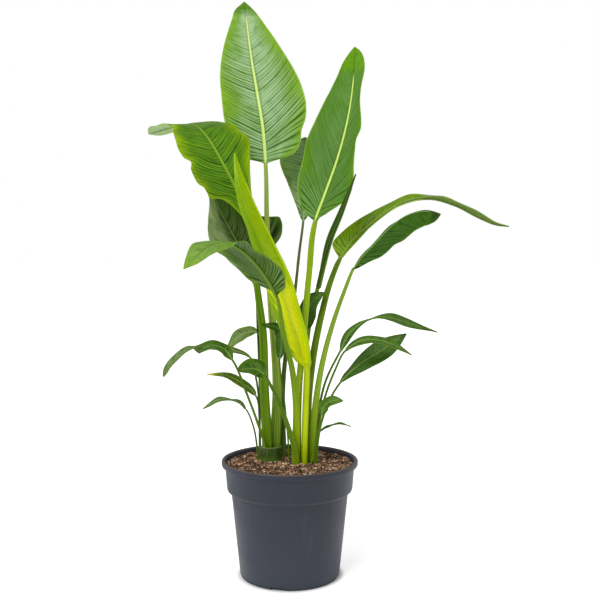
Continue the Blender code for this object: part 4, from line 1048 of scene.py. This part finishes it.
grow([
    Leaf("leaf_tall_left", "broad",
        stalk=[(-29, 24, 160), (-27, 25, 215), (-23, 34, 325), (-35, 54, 485), (-42, 74, 610),
               (-45, 90, 730)],
        rib=[(-50, 101, 792), (-60, 115, 855), (-72, 131, 925), (-87, 155, 1040)],
        faces=((0.05, -1.0, 0.15), (0.0, -1.0, 0.35)), half_widths=(68, 85), foot=(11.2, 5),
        neck=3.6, veins=(5.5, 0.1), sweep=(0.75, 0.8),
        edges=[((0, 8), (2, 26), (5, 45), (12, 60), (20, 66), (31, 68), (45, 66), (54, 64),
                (64, 58), (73, 49), (81, 39), (90, 27), (96, 18), (100, 1)),
               ((0, 12), (3, 41), (7, 58), (12, 67), (18, 71), (24, 81), (31, 86), (40, 85),
                (53, 77), (68, 58), (83, 36), (95, 14), (100, 1))]),
    Leaf("leaf_tall_right", "broad_deep",
        stalk=[(14, 7, 160), (14, 8, 215), (16, 12, 325), (25, 12, 432), (34, 20, 530),
               (45, 35, 623)],
        rib=[(63, 40, 673), (86, 45, 738), (104, 50, 808), (114, 50, 885), (115, 45, 932)],
        faces=((-0.64, -0.77, 0.15), (-0.64, -0.77, 0.15)), half_widths=(67, 70), foot=(7, 4.8),
        neck=4, fold=(20, 12), flare=0.3, veins=(4.2, 0.07), sweep=(1.7, 1.2),
        edges=[((0, 14), (3, 27), (7, 38), (14, 52), (22, 62), (34, 67), (51, 66), (61, 62),
                (70, 51), (75, 43), (82, 34), (93, 20), (97, 10), (100, 1)),
               ((0, 6), (7, 33), (11, 51), (16, 69), (24, 68), (35, 55), (42, 46), (49, 37),
                (55, 41), (60, 38), (71, 28), (80, 25), (87, 29), (91, 29), (95, 24), (98, 14),
                (100, 1))]),
    Leaf("leaf_back", "grey_green",
        stalk=[(-12, 33, 160), (-12, 35, 215), (-14, 50, 300), (-6, 75, 400), (7, 95, 482),
               (17, 115, 571), (24, 125, 626)],
        rib=[(27, 130, 667), (29, 142, 720), (27, 170, 789)],
        faces=((-0.2, -1.0, 0.25), (-0.2, -1.0, 0.4)), half_widths=(41, 45), foot=(6.2, 4.2),
        neck=2.2, fold=(15, 0), veins=(4.2, 0.1), sweep=(0.7, 0.7),
        edges=[((0, 2), (7, 8), (15, 13.5), (24, 20.5), (35, 28.5), (45, 35), (60, 45.5), (71, 49),
                (82, 43), (92, 27), (100, 1)),
               ((0, 2), (10, 12), (22, 26), (36, 38), (50, 44), (66, 44), (80, 36), (92, 22),
                (100, 1))]),
    Leaf("leaf_left_arch", "arching",
        stalk=[(-40, 13.5, 160), (-40, 14, 215), (-45, 14, 325), (-48, 20, 430), (-58, 30, 505),
               (-68, 40, 602)],
        rib=[(-89, 32, 667), (-118, 30, 725), (-154, 50, 782), (-178, 80, 801), (-218, 105, 799),
             (-265, 130, 790)],
        faces=((0.1, -1.0, 0.1), (0.15, -0.8, 0.55), (0.1, 0.3, 1.0)), half_widths=(66, 55),
        foot=(10, 4.5), neck=4.2, flare=0.8, waves=(4.5, 1, 8.8), veins=(5.2, 0.14),
        sweep=(0.8, 0.9),
        edges=[((0, 4), (10, 8), (15, 16), (19, 23), (23, 34), (25, 49), (29, 51), (32, 51),
                (35, 58), (38, 60), (42, 57), (46, 51), (48, 60), (51, 62), (55, 59), (60, 56),
                (68, 45), (76, 36), (84, 30), (92, 26), (97, 16), (100, 2)),
               ((0, 5), (14, 18), (22, 26), (29, 38), (37, 53), (45, 67), (51, 62), (58, 62),
                (64, 62), (69, 50), (72, 36), (80, 26), (86, 24), (92, 24), (97, 15), (100, 2))]),
    Leaf("leaf_left_low", "shaded",
        stalk=[(-45, 36, 160), (-46, 40, 215), (-54, 60, 320), (-59, 80, 425), (-66, 95, 508)],
        rib=[(-80, 100, 551), (-105, 105, 597), (-131, 110, 647), (-158, 130, 715)],
        faces=((0.64, -0.77, 0.1), (0.64, -0.77, 0.1)), half_widths=(75, 92), foot=(4.2, 3.4),
        neck=2.6, fold=(28, 14), sweep=(1.1, 1.1),
        edges=[((0, 3), (9, 26), (19, 46), (31, 57), (36, 71), (42, 78), (48, 75), (54, 64),
                (61, 47), (67, 34), (71, 27), (79, 19), (90, 10), (100, 1)),
               ((0, 4), (10, 28), (18, 46), (23, 63), (26, 80), (31, 91), (37, 95), (42, 93),
                (45.5, 76), (50, 62), (62, 46), (75, 32), (88, 17), (100, 1))]),
    Leaf("leaf_front_arch", "front",
        stalk=[(11, -6, 160), (11, -8, 215), (11, -22, 313), (3, -36, 377), (-10, -52, 431),
               (-21, -67, 495)],
        rib=[(-45, -82, 539), (-81, -108, 576), (-98, -125, 585), (-123, -148, 579),
             (-162, -178, 544)],
        faces=((0.45, 0.75, 0.65), (-0.35, -0.6, 0.7)), half_widths=(44, 56), foot=(8.8, 4.5),
        neck=2.8, flare=0.8, waves=(3, 3, 4), veins=(4.5, 0.1),
        edges=[((0, 4), (3, 12), (5, 23), (9, 30), (15, 39), (21, 44), (30, 36), (40, 31), (50, 36),
                (60, 38), (75, 34), (90, 18), (100, 1)),
               ((0, 3), (6, 8), (10, 21), (18, 38), (26, 51), (34, 57), (41, 53), (48, 52),
                (60, 46), (75, 38), (90, 20), (100, 1))]),
    Leaf("leaf_young", "young",
        stalk=[(25.5, -14, 160), (25.5, -15, 215), (28, -13, 310), (30, -11, 368)],
        rib=[(29, -11, 400), (13, -10, 470), (0, -12, 520), (-27, -16, 580), (-64, -22, 660),
             (-93, -26, 738)],
        faces=((-0.92, -0.36, 0.0), (-0.95, -0.2, 0.0)), half_widths=(45, 32), foot=(8.2, 5.5),
        neck=6, fold=(60, 48), waves=(0, 0, 1), veins=(6, 0.05), sweep=(1.3, 1.3),
        edges=[((0, 10), (5, 26), (10, 34), (15, 38), (21, 40), (27, 44), (34, 45.5), (40, 46),
                (49, 40), (57, 36), (63, 35.5), (69, 31), (74, 30), (81, 26), (87, 20), (93.5, 12),
                (100, 2)),
               ((0, 6), (10, 20), (30, 30), (50, 32), (70, 26), (85, 18), (95, 8), (100, 1))]),
    Leaf("leaf_right_long", "slender",
        stalk=[(30, 11, 160), (30, 12, 215), (34, 22, 325), (56, 40, 455), (74, 50, 519),
               (90, 55, 557)],
        rib=[(111, 60, 587), (147, 65, 621), (196, 75, 655), (257, 90, 668), (304, 100, 656),
             (353, 110, 632), (383, 113, 620), (408, 115, 617)],
        faces=((-0.35, -0.75, 0.5), (0.1, 0.35, 1.0)), half_widths=(27, 16), foot=(8, 4.8),
        neck=3.6, flare=0.4, fold=(30, 20), waves=(2, 2, 5), sweep=(1.4, 1.4),
        edges=[((0, 14), (2, 22), (5, 27), (10, 26), (20, 23), (28, 16), (42, 15), (53, 15),
                (60, 18), (70, 22), (80, 20), (92, 10), (100, 1)),
               ((0, 4), (8, 13), (20, 15), (45, 12), (60, 13), (80, 13), (92, 8), (100, 1))]),
    Leaf("leaf_right_low", "deep",
        stalk=[(38, -3, 160), (39, -4, 215), (46, -10, 310), (56, -20, 374), (75, -35, 450),
               (95, -50, 509), (107, -60, 541)],
        rib=[(146, -85, 590), (167, -98, 612.5), (190, -114, 629), (216, -131, 635),
             (240, -145, 630)],
        faces=((-0.4, -0.75, 0.55), (-0.35, -0.6, 0.7)), half_widths=(29, 31), foot=(7.8, 4.6),
        neck=2.7, flare=0.8, fold=(-38, -44), waves=(2, 2, 3), veins=(4.5, 0.1), sweep=(1.6, 1.6),
        edges=[((0, 3), (10, 12), (30, 24), (50, 29), (70, 27), (85, 19), (95, 9), (100, 1)),
               ((0, 4), (7, 10), (19, 17.5), (25, 22), (35, 26.5), (43, 27), (49, 29), (58, 30),
                (68, 31), (77, 27.5), (85, 23.5), (93, 19), (98, 10), (100, 2))]),
    Leaf("leaf_spear", "spear",
        stalk=[(25, 27, 160), (25, 30, 215), (28, 48, 340), (34, 52, 430), (49, 44, 503)],
        rib=[(59, 36, 541), (73, 16, 591), (91, -8, 636), (101, -24, 665), (112, -42, 701)],
        faces=((-1.0, -0.4, 0.2), (-1.0, -0.4, 0.2)), half_widths=(9, 9), foot=(4.2, 3.6), neck=3.8,
        fold=(55, 40), waves=(0, 0, 1), columns=8, veins=(5, 0.05), sweep=(1.5, 1.5),
        edges=[((0, 3.4), (15, 5), (35, 8.5), (55, 9), (75, 7), (90, 3.5), (100, 0.8))]),
])


# Side shoots: short leaves on thin stalks, from offsets at the feet of the two clumps. Their
# blades are narrow, and most arch over and droop at the tip.
grow([
    small_leaf("shoot_left_arch", "shoot",
        stalk=[(-43.5, 4, 160), (-43.5, 4.5, 215), (-46, 3.5, 235), (-56, -7, 270), (-75, -17, 325),
               (-98, -30, 384)],
        rib=[(-112, -38, 404), (-131, -48, 411), (-146, -55, 408), (-157, -60, 402)],
        faces=((-0.3, -0.65, 0.7), (-0.4, -0.5, 0.7)), half_width=11, foot=2.8,
        edges=[((0, 1.5), (12, 6.5), (30, 11.5), (55, 13.8), (85, 13), (100, 11))]),
    small_leaf("shoot_left_far", "shoot_pale",
        stalk=[(-53, 31, 160), (-54, 31, 215), (-62, 31, 350), (-70, 30, 380)],
        rib=[(-108, 30, 396), (-138, 30, 402), (-168, 30, 400), (-183, 29, 396), (-201, 26, 383),
             (-216, 22, 367), (-225, 20, 348)],
        faces=((-0.2, -0.6, 0.8), (-0.6, -0.5, 0.6)), half_width=9, foot=2.5,
        edges=[((0, 1.5), (15, 6), (35, 9.5), (48, 7), (56, 2.5), (64, 8), (73, 10.8), (88, 10.2),
                (96, 7.5), (100, 2))]),
    small_leaf("shoot_left_back", "shoot_pale",
        stalk=[(-33, 42, 160), (-33, 44, 215), (-40, 56, 300), (-50, 65, 391), (-61, 70, 423)],
        rib=[(-74, 75, 423), (-89, 80, 418), (-118, 85, 389)],
        faces=((-0.1, -0.7, 0.7), (-0.5, -0.7, 0.5)), half_width=15, foot=2.5),
    small_leaf("shoot_front_folded", "shoot",
        stalk=[(12, -22, 160), (11, -23, 215), (-3, -28, 269), (-29, -34, 334), (-44, -38, 360)],
        rib=[(-56, -42, 369), (-72, -48, 371), (-88, -56, 369)],
        faces=((0.0, -0.75, 0.65), (-0.1, -0.75, 0.65)), half_width=19, foot=7.2, neck=2.4,
        outline=(0.4, 0.7), fold=(30, 10)),
    small_leaf("shoot_left_yellow", "shoot_yellow",
        stalk=[(-53, 18, 160), (-53, 17, 215), (-54, 12, 272), (-60, 8, 316)],
        rib=[(-73, 0, 332), (-91, -5, 345), (-113, -10, 355), (-144, -12, 357)],
        faces=((-0.3, -0.7, 0.6), (-0.2, -0.5, 0.8)), half_width=8.5, foot=2.3),
    small_leaf("shoot_left_lowest", "shoot_pale",
        stalk=[(-55, 5, 160), (-57, 4, 215), (-65, 0, 266), (-77, -5, 295)],
        rib=[(-87, -10, 307), (-100, -15, 313), (-121, -22, 314), (-150, -27, 299)],
        faces=((0.2, -0.5, 0.9), (-0.4, -0.4, 0.8)), half_width=6, foot=2,
        edges=[((0, 1.2), (12, 5.5), (24, 6), (38, 2.6), (48, 3.4), (64, 7.8), (80, 6.8),
                (100, 0.8))]),
    small_leaf("shoot_middle", "dark",
        stalk=[(-1, 10, 160), (-2, 12, 215), (-10, 18, 309), (-18, 22, 379)],
        rib=[(-15, 23, 406), (-19, 22, 432), (-50, 14, 442)],
        faces=((-0.6, -0.7, 0.3), (-0.3, -0.7, 0.6)), half_width=12, foot=1.8),
    small_leaf("shoot_back_middle", "dark",
        stalk=[(8, 22, 160), (10, 22, 215), (20, 28, 330), (29, 36, 430)],
        rib=[(30, 38, 455), (40, 34, 482), (61, 30, 498)],
        faces=((-0.3, -1.0, 0.3), (-0.5, -0.9, 0.3)), half_width=18, foot=2),
    small_leaf("shoot_right_long", "shoot",
        stalk=[(42, 12, 160), (43, 12, 215), (48, 15, 263), (65, 25, 343), (89, 30, 391)],
        rib=[(108, 35, 425), (129, 40, 443), (153, 45, 452), (180, 50, 451), (208, 55, 442),
             (268, 60, 424)],
        faces=((-0.3, -0.5, 0.8), (0.3, -0.5, 0.8)), half_width=13, foot=2.8,
        edges=[((0, 1.5), (8, 8), (16, 10), (28, 6), (42, 2.5), (50, 8), (57, 13), (70, 13.5),
                (83, 8.7), (93, 4), (100, 0.8))]),
    small_leaf("shoot_right_middle", "shoot",
        stalk=[(46, 3, 160), (47, 2, 215), (51, 0, 266), (80, -10, 366), (96, -15, 398)],
        rib=[(113, -20, 411), (135, -25, 419), (159, -30, 417), (182, -35, 409), (209, -40, 394)],
        faces=((-0.3, -0.5, 0.8), (0.3, -0.5, 0.8)), half_width=11, foot=2.6),
    small_leaf("shoot_right_broad", "dark",
        stalk=[(44, -14, 160), (46.5, -13.5, 215), (56.5, -7.5, 275), (73, 0, 316), (88, 3, 339)],
        rib=[(124, 10, 372), (160, 15, 394), (181, 18, 408), (207, 20, 425)],
        faces=((-0.4, -0.8, 0.4), (-0.4, -0.8, 0.4)), half_width=20, foot=2.7,
        edges=[((0, 1.5), (12, 6), (20, 7), (30, 11), (45, 17.5), (60, 20), (75, 17), (88, 10),
                (100, 0.8)),
               ((0, 1.5), (12, 8), (30, 15.5), (45, 19), (60, 21), (75, 18.5), (88, 11),
                (100, 0.8))]),
    small_leaf("shoot_right_low", "shoot",
        stalk=[(36, -21, 160), (39, -21, 215), (47, -22, 250), (55, -27, 288)],
        rib=[(61, -30, 306), (75, -38, 315), (92, -45, 316)],
        faces=((-0.3, -0.8, 0.5), (-0.3, -0.7, 0.6)), half_width=11, foot=1.7),
    small_leaf("shoot_right_thread", "shoot",
        stalk=[(44, 22, 160), (45, 21, 215), (53, 12, 252)],
        rib=[(64, 6, 260.5), (78, 1, 266.5), (93, -4, 268.5), (107, -8, 264.5)],
        faces=((-0.3, -0.4, 0.8), (0.1, -0.4, 0.8)), half_width=3.2, foot=1.2),
])


# Cut sheath: the stub of an old leaf base, cut off level with a knife. It still wraps the front
# of the left clump, dark green outside and dried pale along the cut.
SHEATH_CENTRE = (-0.034, 0.012)
SHEATH_RADII = (0.0185, 0.0160)
SHEATH_WALL = 0.0014
SHEATH_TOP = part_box("cut_sheath")[1].z
SHEATH_FOOT = 0.185
SHEATH_ARC = (175, 365)
SHEATH_COLUMNS = 72
SHEATH_ROWS = 24
SHEATH_RIDGE = 0.0002
SHEATH_RIDGE_RATE = 26
SHEATH_SHARP_ANGLE = 40
SHEATH_ROUGHNESS = 0.42
SHEATH_RELIEF = (0.5, 0.0004)
SHEATH_DARK = paint(34, 56, 4)
SHEATH_PALE = paint(66, 92, 14)
SHEATH_FOOT_COLOUR = paint(84, 116, 26)
SHEATH_FOOT_BAND = (0.214, 0.198)
FIBRE_STREAKS = (420, 420, 30)
CUT_COLOUR = paint(124, 142, 74)
CUT_BAND = (SHEATH_TOP - 0.0030, SHEATH_TOP - 0.0006)
CUT_WOBBLE = 0.0005
CUT_WOBBLE_RATE = 5
CUT_HEIGHT = SHEATH_TOP - 0.0007
CUT_ROUNDING = 0.0003


def sheath_finish():
    """A fleshy leaf base: dark and fibrous, yellower at its foot and dry at the cut."""
    finish, tree, shader = new_finish("cut_leaf_base", SHEATH_ROUGHNESS)
    spot = place_on_piece(tree)
    height = height_of(spot)
    fibres = drawn_out(spot, FIBRE_STREAKS, 3.0, 0.5)
    colour = mix(rise(fibres, 0.3, 0.7), SHEATH_DARK, SHEATH_PALE)
    colour = mix(rise(height, *SHEATH_FOOT_BAND), colour, SHEATH_FOOT_COLOUR)
    colour = mix(rise(height, *CUT_BAND), colour, CUT_COLOUR)
    feed(shader, {"Base Color": colour})
    relieve(shader, fibres, *SHEATH_RELIEF)
    return finish


def make_sheath():
    """Bend a sheet round the arc, rib it and make its cut uneven, then give it its wall."""
    bpy.ops.object.select_all(action="DESELECT")
    bpy.ops.mesh.primitive_grid_add(
        x_subdivisions=SHEATH_COLUMNS, y_subdivisions=SHEATH_ROWS, size=1)
    sheath = bpy.context.object
    sheath.name = sheath.data.name = "cut_sheath_grown"
    first, last = (math.radians(angle) for angle in SHEATH_ARC)
    for point in sheath.data.vertices:
        angle = first + (last - first) * (point.co.x + 0.5)
        up = point.co.y + 0.5
        ridge = SHEATH_RIDGE * math.cos(angle * SHEATH_RIDGE_RATE) * up
        wobble = CUT_WOBBLE * math.sin(angle * CUT_WOBBLE_RATE) * up
        height = SHEATH_FOOT + (CUT_HEIGHT - SHEATH_FOOT + wobble) * up
        point.co = (
            SHEATH_CENTRE[0] + (SHEATH_RADII[0] + ridge) * math.cos(angle),
            SHEATH_CENTRE[1] + (SHEATH_RADII[1] + ridge) * math.sin(angle), height)
    apply_modifier(sheath, "SOLIDIFY", thickness=SHEATH_WALL, offset=0)
    apply_modifier(sheath, "BEVEL", width=CUT_ROUNDING, segments=2, limit_method="ANGLE")
    smooth(sheath, SHEATH_SHARP_ANGLE)
    mount(sheath, sheath_finish(), "sheath", "cut_sheath")


make_sheath()


# Studio: a plain white floor, an even pale surround, a wide soft sun from the upper left in front
# and a soft box at each side. The camera looks from just over the middle of the plant's height.
FLOOR_SIZE = 60.0
WHITE = (1, 1, 1, 1)
PAPER_COLOURS = (paint(248, 248, 248), paint(252, 252, 252))
PAPER_ROUGHNESS = 0.9
FLOOR_GLOW = 0.5
GLOW_RISE = 0.012
SURROUND_LIGHT = 0.5
SUN_AIM = (0.55, 0.85, -1.0)
SUN_STRENGTH = 1.6
SUN_ANGLE = math.radians(30)
SOFT_BOXES = (
    # Place, aim, width and height, and power
    ((-1.7, 0.3, 0.8), (0.0, 0.0, 0.35), (0.5, 1.6), 5.0),
    ((1.7, 0.4, 0.8), (0.0, 0.0, 0.35), (0.5, 1.6), 4.0),
)
CAMERA_PLACE = (0.018, -1.57, 0.574)
CAMERA_PITCH = 0.056
CAMERA_LENS = 54
SENSOR_WIDTH = 36


def floor_finish():
    """Matt white paper, very slightly uneven, with a little light from below round the pot."""
    finish, tree, shader = new_finish("studio_paper", PAPER_ROUGHNESS)
    spot = place_on_piece(tree)
    paper = mix(speckle(spot, 3.0, 2.0), *PAPER_COLOURS)
    reach = place(tree, "ShaderNodeVectorMath", {0: spot}, operation="LENGTH").outputs["Value"]
    glow = rise(reach, BASE_RADIUS, BASE_RADIUS + GLOW_RISE)
    feed(shader, {"Base Color": paper, "Emission Color": WHITE,
                  "Emission Strength": times(glow, FLOOR_GLOW)})
    return finish


def make_surround():
    """Plain white where the camera looks past the floor, and dimmer as a light."""
    surround = bpy.data.worlds.new("surround")
    surround.use_nodes = True
    tree = surround.node_tree
    light = tree.nodes["Background"]
    feed(light, {"Color": WHITE, "Strength": SURROUND_LIGHT})
    seen = place(tree, "ShaderNodeBackground", {"Color": WHITE, "Strength": 1.0})
    camera_ray = place(tree, "ShaderNodeLightPath", {}).outputs["Is Camera Ray"]
    both = place(tree, "ShaderNodeMixShader", {
        0: camera_ray, 1: light.outputs[0], 2: seen.outputs[0]})
    feed(tree.nodes["World Output"], {0: both.outputs[0]})
    bpy.context.scene.world = surround


def add_lamp(name, kind, spot, aim, energy):
    """A lamp at a spot that shines towards another."""
    lamp = bpy.data.lights.new(name, kind)
    lamp.energy = energy
    holder = bpy.data.objects.new(name, lamp)
    holder.location = spot
    holder.rotation_euler = (Vector(aim) - Vector(spot)).to_track_quat("-Z", "Y").to_euler()
    bpy.context.collection.objects.link(holder)
    return lamp


def make_studio():
    """Lay the floor, set up the lights and aim the camera."""
    bpy.ops.mesh.primitive_plane_add(size=FLOOR_SIZE, location=(0, 0, 0))
    floor = bpy.context.object
    floor.name = "studio_floor"
    floor.data.materials.append(floor_finish())
    make_surround()
    add_lamp("soft_sun", "SUN", (0, 0, 0), SUN_AIM, SUN_STRENGTH).angle = SUN_ANGLE
    for index, (spot, aim, size, power) in enumerate(SOFT_BOXES):
        box = add_lamp("soft_box_%d" % index, "AREA", spot, aim, power)
        box.shape, box.size, box.size_y = "RECTANGLE", *size
    camera = bpy.data.objects.new("camera", bpy.data.cameras.new("camera"))
    camera.location = CAMERA_PLACE
    camera.rotation_euler = (math.pi / 2 - CAMERA_PITCH, 0, 0)
    camera.data.lens = CAMERA_LENS
    camera.data.sensor_width = SENSOR_WIDTH
    bpy.context.collection.objects.link(camera)
    bpy.context.scene.camera = camera
    bpy.context.scene.view_settings.view_transform = "Standard"


make_studio()
